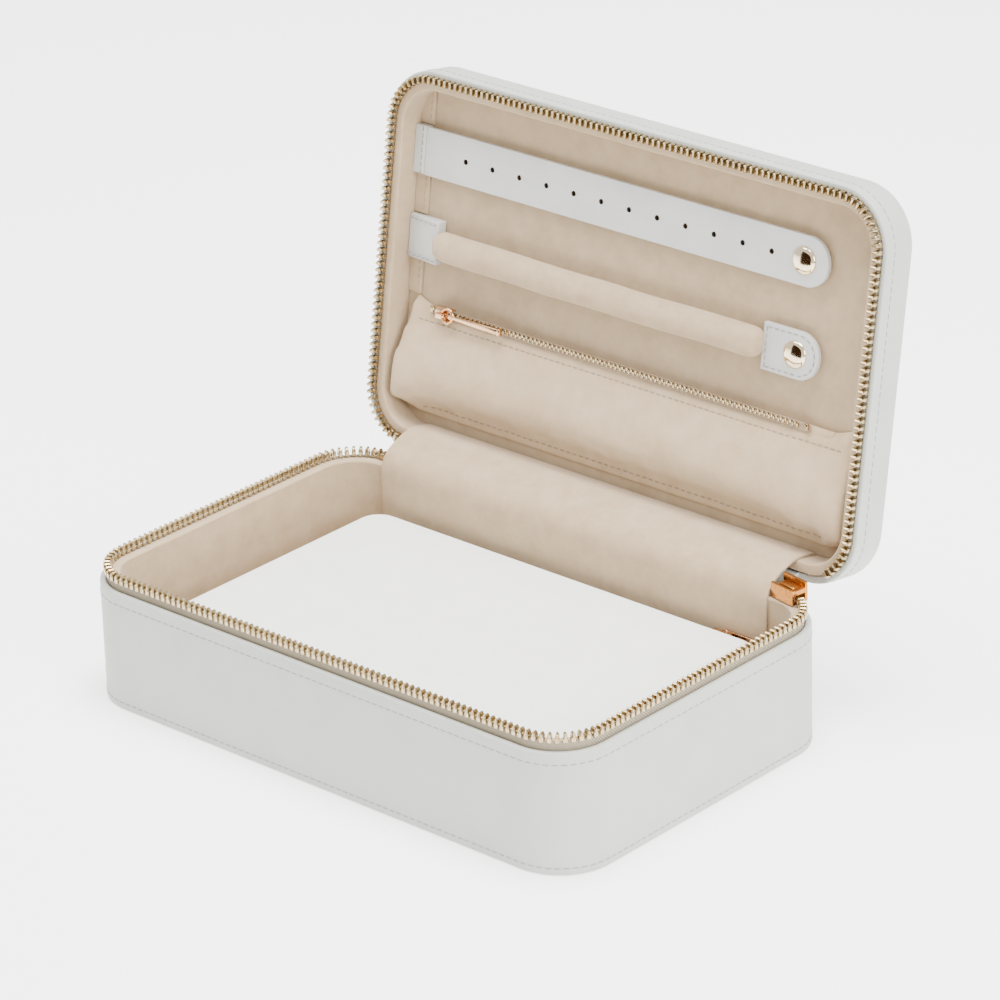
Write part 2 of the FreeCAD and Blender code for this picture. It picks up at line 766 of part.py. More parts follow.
# ---------------------------------------------------------------- sliders and pulls
def box(x, y, z, long, wide, tall):
    """A box primitive with its low corner and its sizes bound to the sheet."""
    thing = doc.addObject("Part::Box", "box")
    bind(thing, "Length", long)
    bind(thing, "Width", wide)
    bind(thing, "Height", tall)
    for axis, value in zip("xyz", (x, y, z)):
        bind(thing, f"Placement.Base.{axis}", value)
    return thing


def cylinder(x, y, z, cylinder_radius, tall):
    thing = doc.addObject("Part::Cylinder", "cylinder")
    bind(thing, "Radius", cylinder_radius)
    bind(thing, "Height", tall)
    for axis, value in zip("xyz", (x, y, z)):
        bind(thing, f"Placement.Base.{axis}", value)
    return thing


def fused(name, pieces):
    thing = doc.addObject("Part::MultiFuse", name)
    thing.Shapes = pieces
    thing.Refine = True
    return thing


def less(name, body, tool):
    thing = doc.addObject("Part::Cut", name)
    thing.Base = body
    thing.Tool = tool
    return thing


small_plate_low = size("small_tooth_height") + size("small_play")
small_plate_top = small_plate_low + size("small_slider_plate")
small_half = size("small_tooth_long") / 2 + size("small_play")
pull_low = small_plate_top + size("small_play") * 1.5
pull_top = pull_low + size("pull_thick")


def small_slider(label, placement, staple):
    """A channel that straddles the teeth, with a staple or a headed post for its pull on top."""
    long = size("small_slider_length")
    wall_thick = size("small_slider_wall")
    low = size("small_play")
    tall = small_plate_top - low
    outer = small_half + wall_thick
    pieces = [
        box(-(long / 2), -outer, small_plate_low, long, outer * 2, size("small_slider_plate")),
        box(-(long / 2), -outer, low, long, wall_thick, tall),
        box(-(long / 2), small_half, low, long, wall_thick, tall),
    ]
    if staple:
        width = size("staple_width")
        bar_low = pull_top + size("small_play") * 1.5
        leg = bar_low - small_plate_top + 0.7
        pieces += [
            box(-1.8, -(width / 2), small_plate_top, 0.8, width, leg),
            box(1.4, -(width / 2), small_plate_top, 0.8, width, leg),
            box(-1.8, -(width / 2), bar_low, 4.0, width, 0.7),
        ]
    else:
        post_top = pull_top + size("small_play")
        pieces += [
            cylinder(0, 0, small_plate_top - 0.1, size("post_radius"), post_top - small_plate_top + 0.2),
            cylinder(0, 0, post_top, size("post_head"), size("post_head_thick")),
        ]
    return keep(fused(label, pieces), label, placement)


def ring_pull(label, placement):
    """A flat ring round the staple's leg, with a bar; it flips about the ring's near side."""
    middle = (size("ring_outer") + size("ring_inner")) / 2
    thick = size("pull_thick")
    wide = size("pull_width")
    start = middle + size("ring_inner") + 0.4
    disc = cylinder(middle, 0, pull_low, size("ring_outer"), thick)
    bar = box(start, -(wide / 2), pull_low, size("pocket_pull_length") - start, wide, thick)
    hole = cylinder(middle, 0, pull_low - 1, size("ring_inner"), thick + 2)
    return keep(less(label, fused(label + "_blank", [disc, bar]), hole), label, placement)


def eye_pull(label, placement, low, length):
    """A flat tag with a round eye at its top; it swings in its own plane about the post."""
    thick = size("pull_thick")
    wide = size("pull_width")
    start = size("eye_outer") * 0.7
    disc = cylinder(0, 0, low, size("eye_outer"), thick)
    bar = box(start, -(wide / 2), low, as_size(length) - start, wide, thick)
    hole = cylinder(0, 0, low - 1, size("eye_inner"), thick + 2)
    return keep(less(label, fused(label + "_blank", [disc, bar]), hole), label, placement)


def build_main_slider():
    """Two plates joined by a bridge, astride the teeth. Local X runs along the zip, Z outwards.

    The corner's own curve fits between the plates, so that the slider can follow it."""
    turn = radius - tooth_line
    half_thick = size("tooth_thick") / 2
    half_long = size("slider_length") / 2
    inner_edge = turn - half_thick
    sag = half_long * half_long / (inner_edge * 2)
    play = size("slider_play")
    channel_low = inner_edge - sag - play
    channel_high = turn + half_thick + play
    plate_thick = size("slider_plate")
    long = size("slider_length")
    tall = slider_height
    middle_height = slider_low + tall / 2
    corner_spot = Vector((half_width - radius).number, (half_depth - radius).number, middle_height.number)
    parked = Rotation(Vector(0, 0, 1), -size("slider_rest_angle").number)
    corner = Placement(corner_spot, parked)
    spot = corner * Placement(Vector(), Rotation(Vector(1, 0, 0), -90))
    post_low = channel_high + plate_thick
    eye_low = post_low + size("small_play") + 0.2
    head_low = eye_low + size("pull_thick") + size("small_play")
    # local y points down: the teeth of the base take the lower half of the channel
    bridge_high = middle_height - (zip_plane + size("tooth_reach") + size("slider_play"))
    post_x = as_size(-2.4)
    pieces = [
        box(-half_long, middle_height - inner_plate_top, channel_low - plate_thick, long,
            inner_plate_top - slider_low, plate_thick),
        box(-half_long, -(tall / 2), channel_high, long, tall, plate_thick),
        box(half_long - 3, bridge_high - size("slider_bridge"), channel_low - 0.1, 3,
            size("slider_bridge"), channel_high - channel_low + 0.2),
        cylinder(post_x, 0, post_low - 0.1, size("post_radius"), head_low - post_low + 0.2),
        cylinder(post_x, 0, head_low, size("post_head"), size("post_head_thick")),
    ]
    keep(fused("main_zip_slider", pieces), "main_zip_slider", spot)
    hang = Placement(Vector(post_x.number, 0, 0), Rotation(Vector(0, 0, 1), 90))
    eye_pull("main_zip_pull", spot * hang, eye_low, size("main_pull_length"))


# ---------------------------------------------------------------- pouch
def build_pouch():
    right = half_width - wall - size("pouch_side_gap")
    left = -right
    front = -(half_depth - wall - size("pouch_front_gap"))
    back = half_depth - wall - size("pouch_back_gap")
    corner = size("pouch_corner")
    thick = size("pouch_leather")
    low = floor_top + size("part_gap")
    top = size("pouch_top")
    skin = size("pouch_wall")

    def outline(body, level, inset):
        sketch = sketch_on(body, "XY_Plane", level)
        rounded_rectangle(sketch, left + inset, right - inset, front + inset, back - inset, corner - inset)
        return sketch

    for label, level in (("pouch_bottom_panel", low), ("pouch_top_panel", top - thick)):
        body = new_body(label)
        pad(body, outline(body, level, nothing), thick)
        keep(body, label, BASE)

    gusset = new_body("pouch_gusset")
    height = top - thick * 2 - low
    sketch = outline(gusset, low + thick, nothing)
    rounded_rectangle(sketch, left + skin, right - skin, front + skin, back - skin, corner - skin)
    pad(gusset, sketch, height)
    doc.recompute()
    slot_tall = size("small_tooth_long") + size("small_play") * 2
    slot_low = top - thick - slot_tall
    half = size("pouch_zip_half")
    slot = sketch_on(gusset, "XY_Plane", slot_low)
    rectangle(slot, -half, half, back - skin - 1, back + 1)
    pocket(gusset, slot, slot_tall)
    keep(gusset, "pouch_gusset", BASE)

    surface = back - size("small_tooth_height") / 3
    block("pouch_zip_tape", BASE, -half, half, surface - size("small_tape_thick"), surface,
          slot_low, top - thick)
    middle = slot_low + slot_tall / 2
    outward = Placement(Vector(0, surface.number, middle.number), Rotation(Vector(1, 0, 0), -90))
    small_teeth("pouch_zip_teeth", outward, -half.number + 2, half.number - 2)
    reach = surface + size("small_play") - back
    shift = max(0.3 - reach.number, 0.0)
    spot = outward * Placement(Vector(size("pouch_slider_across").number, 0, shift), Rotation())
    small_slider("pouch_zip_slider", spot, staple=False)
    eye_pull("pouch_zip_pull", spot, pull_low, size("pouch_pull_length"))


# ---------------------------------------------------------------- build, test, write
def check_and_write():
    doc.recompute()
    for thing in doc.Objects:
        wrong = {"Invalid", "Error"} & set(thing.State)
        if wrong:
            raise RuntimeError(f"{thing.Name} ({thing.Label}) is {wrong}")
    os.makedirs("parts", exist_ok=True)
    for thing in parts:
        shape = thing.Shape
        if shape.isNull() or not shape.isValid() or not shape.Solids:
            raise RuntimeError(f"{thing.Label} has no valid shape")
        shape.exportStep(f"parts/{thing.Label}.step")
        box_ = shape.BoundBox
        print(f"{thing.Label:22s} solids {len(shape.Solids):4d}  volume {shape.Volume:10.1f}  "
              f"z {box_.ZMin:7.2f} to {box_.ZMax:7.2f}")


build_base()
build_lid()
build_main_zip()
build_hinge()
build_strip()
build_roll()
build_pocket()
build_main_slider()
build_pouch()
check_and_write()
print(len(parts), "nodes")
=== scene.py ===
# %% [markdown]
# # Zip-around jewellery case
#
# The case stands open. Its base and lid are leather over board, lined with suede, and a row of metal
# teeth runs round each. The lid holds an earring strip, a ring roll and a zipped pocket, and a leather
# pouch lies in the base.
#
# The CAD frame gives every place and every joint. Each soft or small piece is modelled again here with
# the detail the real one has, and rides on the same body as the piece it stands for, except the two
# hinge sheets, which are not attached to any body.

# %% Start
import bpy
import bmesh
import json
import math
import numpy as np
from mathutils import Matrix, Vector

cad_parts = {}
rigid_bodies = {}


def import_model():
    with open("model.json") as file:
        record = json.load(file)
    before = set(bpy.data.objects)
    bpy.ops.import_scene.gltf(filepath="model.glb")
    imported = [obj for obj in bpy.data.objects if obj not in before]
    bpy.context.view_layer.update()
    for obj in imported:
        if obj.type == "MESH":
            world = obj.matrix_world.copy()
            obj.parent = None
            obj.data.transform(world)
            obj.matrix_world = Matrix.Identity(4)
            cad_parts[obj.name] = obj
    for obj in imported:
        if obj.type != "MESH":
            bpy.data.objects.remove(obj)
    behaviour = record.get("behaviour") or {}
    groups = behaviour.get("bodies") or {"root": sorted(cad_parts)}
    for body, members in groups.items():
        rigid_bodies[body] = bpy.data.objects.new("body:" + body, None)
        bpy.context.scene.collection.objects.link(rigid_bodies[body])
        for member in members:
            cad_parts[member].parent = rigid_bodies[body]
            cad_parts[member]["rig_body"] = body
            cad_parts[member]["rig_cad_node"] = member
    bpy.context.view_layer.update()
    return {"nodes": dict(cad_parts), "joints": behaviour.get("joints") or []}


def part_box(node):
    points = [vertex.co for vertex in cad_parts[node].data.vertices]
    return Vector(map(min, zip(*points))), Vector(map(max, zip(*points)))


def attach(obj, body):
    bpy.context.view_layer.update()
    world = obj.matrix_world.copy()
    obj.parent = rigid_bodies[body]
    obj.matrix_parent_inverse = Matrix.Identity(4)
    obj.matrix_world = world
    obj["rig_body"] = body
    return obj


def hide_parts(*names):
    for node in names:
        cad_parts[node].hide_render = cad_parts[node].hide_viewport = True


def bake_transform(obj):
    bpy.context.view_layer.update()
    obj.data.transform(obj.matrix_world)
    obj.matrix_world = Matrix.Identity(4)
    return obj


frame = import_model()

MM = 0.001

# %% [markdown]
# ## Sizes
# Some sizes follow from the boxes of a few CAD nodes and from the hinge joint; the others are given as
# numbers. The lid's pieces are drawn where they lie when the case is shut, then turned about the hinge.

# %% Sizes
low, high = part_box("base_wall_leather")
WIDTH = high[0] - low[0]
DEPTH = high[1] - low[1]
BASE_SEAM = high[2]
CORNER = 20.5 * MM
LEATHER = 2.4 * MM
TAPE = 0.9 * MM
LINING = 5.5 * MM
WALL = 7.0 * MM
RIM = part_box("base_wall_lining")[1][2]
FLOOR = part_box("base_floor_lining")[1][2]
TOOTH_LOW, TOOTH_HIGH = (c[2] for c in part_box("base_zip_teeth"))
LID_SEAM = 52.5 * MM
LID_TOP = 67.7 * MM
PANEL = 62.9 * MM
LID_TOOTH_LOW = 49.25 * MM

hinge = next(j for j in frame["joints"] if j["name"] == "lid_hinge")
HINGE = Vector(hinge["pos_m"])
ANGLE = math.radians(-min(hinge["range_deg"]))
OPEN = Matrix.Translation(HINGE) @ Matrix.Rotation(-ANGLE, 4, "X") @ Matrix.Translation(-HINGE)
print("case", WIDTH, DEPTH, "opens", math.degrees(ANGLE))

# %% [markdown]
# ## Modelling tools
# Small helpers round Blender's own operators: add a primitive, choose faces or edges by their place,
# and finish with modifiers that are applied.

# %% Selecting an object
def clear():
    if bpy.context.object and bpy.context.object.mode != "OBJECT":
        bpy.ops.object.mode_set(mode="OBJECT")
    bpy.ops.object.select_all(action="DESELECT")


def pick(ob):
    clear()
    ob.select_set(True)
    bpy.context.view_layer.objects.active = ob


def edit(ob):
    pick(ob)
    bpy.ops.object.mode_set(mode="EDIT")


def done():
    bpy.ops.object.mode_set(mode="OBJECT")


# %% [markdown]
# A person clicks on the faces they want. A script has no mouse, so it names them by where they are or
# which way they face. Index numbers would also do, but they change whenever an earlier step changes.

# %% Choosing faces and edges
def choose(ob, kind, test):
    """In edit mode, selects the verts, edges or faces whose middle passes the test."""
    bpy.ops.mesh.select_all(action="DESELECT")
    bm = bmesh.from_edit_mesh(ob.data)
    bpy.ops.mesh.select_mode(type={"verts": "VERT", "edges": "EDGE", "faces": "FACE"}[kind])
    for e in getattr(bm, kind):
        if kind == "verts":
            e.select_set(bool(test(e.co)))
        elif kind == "edges":
            e.select_set(bool(test((e.verts[0].co + e.verts[1].co) / 2, e)))
        else:
            e.select_set(bool(test(e.calc_center_median(), e.normal)))
    bmesh.update_edit_mesh(ob.data)


def outward(ob):
    edit(ob)
    bpy.ops.mesh.select_all(action="SELECT")
    bpy.ops.mesh.remove_doubles(threshold=1e-6)
    bpy.ops.mesh.normals_make_consistent(inside=False)
    done()


# %% [markdown]
# A modifier could be left live on the piece. Here each is applied at once, so that the next step works
# on real faces and the finished mesh holds all of its own shape.

# %% Modifiers
def apply_modifier(ob, name):
    pick(ob)
    bpy.ops.object.modifier_apply(modifier=name)


def bevel(ob, width, segments=3, angle=40):
    m = ob.modifiers.new("Bevel", "BEVEL")
    m.width = width
    m.segments = segments
    m.limit_method = "ANGLE"
    m.angle_limit = math.radians(angle)
    apply_modifier(ob, "Bevel")


def thicken(ob, thickness, offset=-1.0):
    m = ob.modifiers.new("Solidify", "SOLIDIFY")
    m.thickness = thickness
    m.offset = offset
    m.use_even_offset = True
    apply_modifier(ob, "Solidify")


def smooth(ob, angle=35):
    pick(ob)
    bpy.ops.object.shade_smooth_by_angle(angle=math.radians(angle))


def cut(ob, cutter):
    m = ob.modifiers.new("Boolean", "BOOLEAN")
    m.operation = "DIFFERENCE"
    m.solver = "EXACT"
    m.object = cutter
    apply_modifier(ob, "Boolean")
    bpy.data.objects.remove(cutter)


# %% [markdown]
# Parts that are sewn or cast as one are joined to one object. Each finished object sits at the origin,
# with its place in its mesh, because the joints then turn all pieces in the same way.

# %% Joining and placing
def join(obs, name):
    clear()
    for o in obs:
        o.select_set(True)
    bpy.context.view_layer.objects.active = obs[0]
    if len(obs) > 1:
        bpy.ops.object.join()
    obs[0].name = name
    return obs[0]


def settle(ob, place=None):
    """Puts the piece's place into its mesh; a lid piece is turned open on the way."""
    pick(ob)
    if place is not None:
        ob.matrix_world = place @ ob.matrix_world
    bpy.ops.object.transform_apply(location=True, rotation=True, scale=True)


# %% [markdown]
# Base, lid, tape and linings all share one rounded outline. Each could be drawn by hand, but taking
# all of them from one plan, only moved in or out, keeps the layers an even distance apart.

# %% Plates and walls
def box(name, size, centre):
    clear()
    bpy.ops.mesh.primitive_cube_add(size=1, location=centre, scale=size)
    ob = bpy.context.object
    ob.name = name
    bpy.ops.object.transform_apply(location=True, rotation=True, scale=True)
    return ob


def plan(name, inset, level, width=None, depth=None, corner=None, middle=(0, 0), segments=14):
    """A flat rounded rectangle: a plane whose four corners are bevelled."""
    clear()
    bpy.ops.mesh.primitive_plane_add(size=1, location=(middle[0], middle[1], level))
    ob = bpy.context.object
    ob.name = name
    w = (width or WIDTH) - 2 * inset
    d = (depth or DEPTH) - 2 * inset
    ob.scale = (w, d, 1)
    bpy.ops.object.transform_apply(location=True, rotation=True, scale=True)
    edit(ob)
    bpy.ops.mesh.select_all(action="SELECT")
    r = (CORNER if corner is None else corner) - inset
    bpy.ops.mesh.bevel(offset=r, offset_type="OFFSET", segments=segments, affect="VERTICES")
    done()
    return ob


def raise_plan(ob, height):
    edit(ob)
    bpy.ops.mesh.select_all(action="SELECT")
    bpy.ops.mesh.extrude_region_move(TRANSFORM_OT_translate={"value": (0, 0, height)})
    done()
    outward(ob)


def drop_faces(ob, test):
    edit(ob)
    choose(ob, "faces", test)
    bpy.ops.mesh.delete(type="FACE")
    done()


def band(name, inset, low_z, high_z, thickness, round_edge=0.0):
    """A wall that follows the plan of the case: raised, emptied top and bottom, thickened inwards."""
    ob = plan(name, inset, low_z)
    raise_plan(ob, high_z - low_z)
    drop_faces(ob, lambda c, n: abs(n.z) > 0.9)
    thicken(ob, thickness)
    if round_edge:
        bevel(ob, round_edge, 3)
    return ob


def slab(name, inset, low_z, high_z, round_edge=0.0):
    """A solid plate with the plan of the case."""
    ob = plan(name, inset, low_z)
    raise_plan(ob, high_z - low_z)
    if round_edge:
        bevel(ob, round_edge, 3)
    return ob


# %% [markdown]
# Stitches and teeth repeat at an even pitch round the corners. Placing each one by its angle is
# possible, but an Array along a straight line, bent by a Curve, keeps the pitch by itself.

# %% Running along the outline
def path_curve(name, inset, level, open_back=True):
    """The plan's outline as a curve. Open at the back, it runs from the left hinge end to the right."""
    ob = plan(name, inset, level, segments=24)
    edit(ob)
    bpy.ops.mesh.select_all(action="SELECT")
    bpy.ops.mesh.delete(type="ONLY_FACE")
    back = DEPTH / 2 - inset - 1e-5
    choose(ob, "edges", lambda c, e: open_back and c.y > back)
    bpy.ops.mesh.delete(type="EDGE")
    done()
    bpy.ops.object.convert(target="CURVE")
    ob.data.dimensions = "2D"
    points = ob.data.splines[0].points
    wrong = points[0].co.x > 0 if open_back else False
    if not open_back:
        a, b = points[0].co, points[1].co
        wrong = a.x * b.y - a.y * b.x < 0
    if wrong:
        edit(ob)
        bpy.ops.curve.select_all(action="SELECT")
        bpy.ops.curve.switch_direction()
        done()
    return ob


def along(ob, curve, count, pitch, start=0.0):
    """Repeats a small piece along a curve and applies both modifiers."""
    m = ob.modifiers.new("Array", "ARRAY")
    m.use_relative_offset = False
    m.use_constant_offset = True
    m.constant_offset_displace = (pitch, 0, 0)
    m.count = count
    apply_modifier(ob, "Array")
    ob.location.x = start
    settle(ob)
    m = ob.modifiers.new("Curve", "CURVE")
    m.object = curve
    m.deform_axis = "POS_X"
    apply_modifier(ob, "Curve")
    bpy.data.objects.remove(curve)
    return ob


# %% [markdown]
# Every piece ends in the same way: turned open if it is on the lid, smoothed, given its material, and
# told which moving body it rides on.

# %% Finishing a piece
def finish_piece(ob, body, material, nodes=(), lid=False, angle=35):
    if lid:
        settle(ob, OPEN)
    smooth(ob, angle)
    ob.data.materials.clear()
    ob.data.materials.append(material)
    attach(ob, body)
    if nodes:
        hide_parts(*nodes)
    spots = np.array([v.co[:] for v in ob.data.vertices]) * 1000
    print(ob.name, len(ob.data.polygons), "faces", spots.min(0).round(1), spots.max(0).round(1))
    return ob


# %% [markdown]
# ## Materials
# Each is made of shader nodes over Object coordinates, so it needs no picture file. Leather has a fine
# pebble, suede has a short nap, and the metals have small scratches.

# %% Material helpers
def new_material(name):
    mat = bpy.data.materials.new(name)
    mat.use_nodes = True
    nodes = mat.node_tree.nodes
    return mat, nodes, mat.node_tree.links, nodes["Principled BSDF"]


def noise(nodes, links, scale, detail=3.0, roughness=0.55, stretch=None):
    place = nodes.new("ShaderNodeTexCoord")
    tex = nodes.new("ShaderNodeTexNoise")
    tex.inputs["Scale"].default_value = scale
    tex.inputs["Detail"].default_value = detail
    tex.inputs["Roughness"].default_value = roughness
    source = place.outputs["Object"]
    if stretch:
        mapping = nodes.new("ShaderNodeMapping")
        mapping.inputs["Scale"].default_value = stretch
        links.new(source, mapping.inputs["Vector"])
        source = mapping.outputs["Vector"]
    links.new(source, tex.inputs["Vector"])
    return tex.outputs["Fac"]


def mix_colours(nodes, links, factor, first, second):
    ramp = nodes.new("ShaderNodeValToRGB")
    ramp.color_ramp.elements[0].position = 0.3
    ramp.color_ramp.elements[0].color = (*first, 1)
    ramp.color_ramp.elements[1].position = 0.7
    ramp.color_ramp.elements[1].color = (*second, 1)
    links.new(factor, ramp.inputs["Fac"])
    return ramp.outputs["Color"]


def bump(nodes, links, height, strength, distance, after=None):
    b = nodes.new("ShaderNodeBump")
    b.inputs["Strength"].default_value = strength
    b.inputs["Distance"].default_value = distance
    links.new(height, b.inputs["Height"])
    if after:
        links.new(after, b.inputs["Normal"])
    return b.outputs["Normal"]


# %% [markdown]
# The real leather has a fine pebble and a slight sheen. The pebble could be carved in the mesh, but at
# a fraction of a millimetre that needs millions of faces, so a cell pattern bumps the shading.

# %% Leather
def leather(name, first, second, rough=0.5, pebble=1500, strength=0.25):
    mat, nodes, links, shader = new_material(name)
    links.new(mix_colours(nodes, links, noise(nodes, links, 60), first, second), shader.inputs["Base Color"])
    cells = nodes.new("ShaderNodeTexVoronoi")
    cells.inputs["Scale"].default_value = pebble
    place = nodes.new("ShaderNodeTexCoord")
    links.new(place.outputs["Object"], cells.inputs["Vector"])
    grain = bump(nodes, links, cells.outputs["Distance"], strength, 0.00012)
    soft = bump(nodes, links, noise(nodes, links, 250), 0.2, 0.0003, grain)
    links.new(soft, shader.inputs["Normal"])
    shader.inputs["Roughness"].default_value = rough
    shader.inputs["Specular IOR Level"].default_value = 0.35
    return mat


# %% [markdown]
# Suede scatters light in its nap and shows paler and darker patches where it was brushed. Real hairs
# would be very heavy, so sheen and a fine noise stand for them.

# %% Suede
def suede(name, first, second, nap=2600):
    mat, nodes, links, shader = new_material(name)
    patch = noise(nodes, links, 140, 5.0, 0.65)
    links.new(mix_colours(nodes, links, patch, first, second), shader.inputs["Base Color"])
    fibre = bump(nodes, links, noise(nodes, links, nap, 4.0, 0.7), 0.55, 0.0003)
    links.new(fibre, shader.inputs["Normal"])
    shader.inputs["Roughness"].default_value = 0.95
    shader.inputs["Specular IOR Level"].default_value = 0.1
    shader.inputs["Sheen Weight"].default_value = 0.25
    shader.inputs["Sheen Roughness"].default_value = 0.5
    return mat


# %% [markdown]
# The tape is a close diagonal weave. Threads modelled one by one would be finer than can be seen, so
# a diagonal wave colours and bumps the surface instead.

# %% Woven tape and thread
def twill(name, first, second, pitch=0.0006):
    mat, nodes, links, shader = new_material(name)
    place = nodes.new("ShaderNodeTexCoord")
    wave = nodes.new("ShaderNodeTexWave")
    wave.bands_direction = "DIAGONAL"
    wave.inputs["Scale"].default_value = 0.314 / pitch
    wave.inputs["Distortion"].default_value = 0.4
    links.new(place.outputs["Object"], wave.inputs["Vector"])
    links.new(mix_colours(nodes, links, wave.outputs["Fac"], first, second), shader.inputs["Base Color"])
    links.new(bump(nodes, links, wave.outputs["Fac"], 0.5, 0.0002), shader.inputs["Normal"])
    shader.inputs["Roughness"].default_value = 0.85
    return mat


# %% [markdown]
# Zip and snaps are plated in several golds. A perfectly even finish looks false, so the roughness
# varies a little and the bump holds fine scratches.

# %% Plated metal
def metal(name, colour, worn, rough=0.22):
    mat, nodes, links, shader = new_material(name)
    links.new(mix_colours(nodes, links, noise(nodes, links, 900), colour, worn), shader.inputs["Base Color"])
    fine = noise(nodes, links, 1200, 2.0, 0.5, (1, 12, 1))
    links.new(bump(nodes, links, fine, 0.05, 0.00002), shader.inputs["Normal"])
    span = nodes.new("ShaderNodeMapRange")
    span.inputs["To Min"].default_value = rough * 0.7
    span.inputs["To Max"].default_value = rough * 1.4
    links.new(noise(nodes, links, 400), span.inputs["Value"])
    links.new(span.outputs["Result"], shader.inputs["Roughness"])
    shader.inputs["Metallic"].default_value = 1.0
    return mat


# %% Materials
# The case and pouch leathers are one white leather in two copies. The case copy is darkened as painted shade,
# to the level of its shaded upright sides. The pouch copy is brightened as a painted lit copy, to the level
# of its lit top.
CASE_WHITE_SHADED = leather("white leather", (0.42, 0.43, 0.395), (0.45, 0.46, 0.425))
POUCH_WHITE_LIT = leather("pouch leather", (0.80, 0.81, 0.765), (0.84, 0.85, 0.805), rough=0.5)
SOFT_WHITE = leather("strap leather", (0.50, 0.50, 0.475), (0.55, 0.55, 0.52), rough=0.5)
SUEDE = suede("cream suede", (0.42, 0.305, 0.185), (0.49, 0.37, 0.235))
POCKET_SUEDE = suede("pocket suede", (0.49, 0.36, 0.22), (0.56, 0.425, 0.275))
TWILL = twill("zip tape weave", (0.33, 0.28, 0.20), (0.22, 0.18, 0.12))
CREAM_TWILL = twill("pocket tape weave", (0.42, 0.31, 0.20), (0.30, 0.21, 0.13))
PALE_GOLD = metal("pale gold teeth", (0.58, 0.46, 0.27), (0.34, 0.25, 0.13), 0.22)
SNAP_GOLD = metal("polished snap gold", (0.90, 0.75, 0.52), (0.84, 0.67, 0.42), 0.08)
ROSE_GOLD = metal("rose gold pull", (0.74, 0.46, 0.26), (0.60, 0.35, 0.18), 0.16)
AMBER_GOLD = metal("amber gold slider", (0.52, 0.22, 0.05), (0.38, 0.14, 0.03), 0.24)
# Near-black material for the walls of the strip's holes: painted shade inside the holes, not the edge's own
# colour.
HOLE_SHADE = leather("punched edge", (0.035, 0.028, 0.022), (0.05, 0.04, 0.03), rough=0.9)
BOARD = leather("paper board", (0.42, 0.38, 0.31), (0.50, 0.45, 0.37), rough=0.9, pebble=900)
THREAD = twill("white thread", (0.33, 0.33, 0.31), (0.22, 0.22, 0.20), pitch=0.0003)
CREAM_THREAD = twill("cream thread", (0.40, 0.31, 0.22), (0.28, 0.20, 0.13), pitch=0.0003)
print("materials", [m.name for m in bpy.data.materials])

# %% [markdown]
# ## Base
# The outer leather is one shell. It could be built from a bottom and four sides, but then it would show
# seams that the real one hides. So the plan is raised to the seam, opened at the top and thickened
# inwards, and its edges are rolled over.

# %% Base shell
shell = plan("base_shell", 0, 0, segments=18)
raise_plan(shell, BASE_SEAM)
drop_faces(shell, lambda c, n: n.z > 0.9)
thicken(shell, LEATHER - 0.1 * MM)
bevel(shell, 0.75 * MM, 4)
finish_piece(shell, "base", CASE_WHITE_SHADED, ["base_wall_leather", "base_bottom_leather"])

# %% Base lining
wall = band("base_lining_wall", LINING, FLOOR - 1.0 * MM, RIM - 1.2 * MM, WALL - LINING)
rim = band("base_lining_rim", LEATHER + TAPE, RIM - 1.8 * MM, RIM, WALL - LEATHER - TAPE, 0.75 * MM)
lining = join([wall, rim], "base_lining")
finish_piece(lining, "base", SUEDE, ["base_wall_lining"])
floor_sheet = slab("base_floor", WALL, FLOOR - 1.5 * MM, FLOOR, 0.4 * MM)
finish_piece(floor_sheet, "base", SUEDE, ["base_floor_lining"])

# %% [markdown]
# ## Stitching
# One stitch is a small rounded bar. A painted line would look flat from the side, so a real bar is
# repeated along the outline of the wall, half sunk in it.

# %% Stitch rows
STITCH_PITCH = 3.0 * MM
STITCH_LONG = 2.0 * MM
STITCH_THICK = 0.45 * MM
STITCH_FROM_SEAM = 4.2 * MM
STITCH_FROM_FOOT = 2.6 * MM


def stitch_row(name, level, body, material, lid=False):
    """A row of stitches round the outside of the case, at one height."""
    long, thick = STITCH_LONG, STITCH_THICK
    clear()
    bpy.ops.mesh.primitive_cube_add(size=1, location=(long / 2, 0, 0), scale=(long, thick * 0.7, thick))
    ob = bpy.context.object
    ob.name = name
    bpy.ops.object.transform_apply(location=True, rotation=True, scale=True)
    bevel(ob, thick * 0.3, 1)
    line = path_curve(name + "_line", 0.0, level, open_back=False)
    total = 2 * (WIDTH + DEPTH) - 8 * CORNER + 2 * math.pi * CORNER
    count = int(round(total / STITCH_PITCH))
    ob.location.z = level
    settle(ob)
    along(ob, line, count, total / count)
    return finish_piece(ob, body, material, lid=lid)


stitch_row("base_top_stitches", BASE_SEAM - STITCH_FROM_SEAM, "base", THREAD)
stitch_row("base_foot_stitches", STITCH_FROM_FOOT, "base", THREAD)
stitch_row("lid_stitches", LID_SEAM + STITCH_FROM_SEAM, "lid", THREAD, lid=True)

# %% [markdown]
# ## Main zip
# A woven tape stands up out of each seam, and the metal teeth are clamped along it. A tooth has a
# rounded head that meets the other row and two legs that grip the tape. A bumpy ribbon would pass from
# far off, but the teeth stand out in profile, so one tooth is modelled and repeated.

# %% Zip tapes
def notch():
    """The room that the parked slider takes from the lid's leather and tape."""
    middle = WIDTH / 2 - CORNER
    return box("notch", (13.1 * MM, 30 * MM, 6 * MM),
               (middle + 3.25 * MM, DEPTH / 2 - 8 * MM, LID_SEAM + 1.9 * MM - 3 * MM))


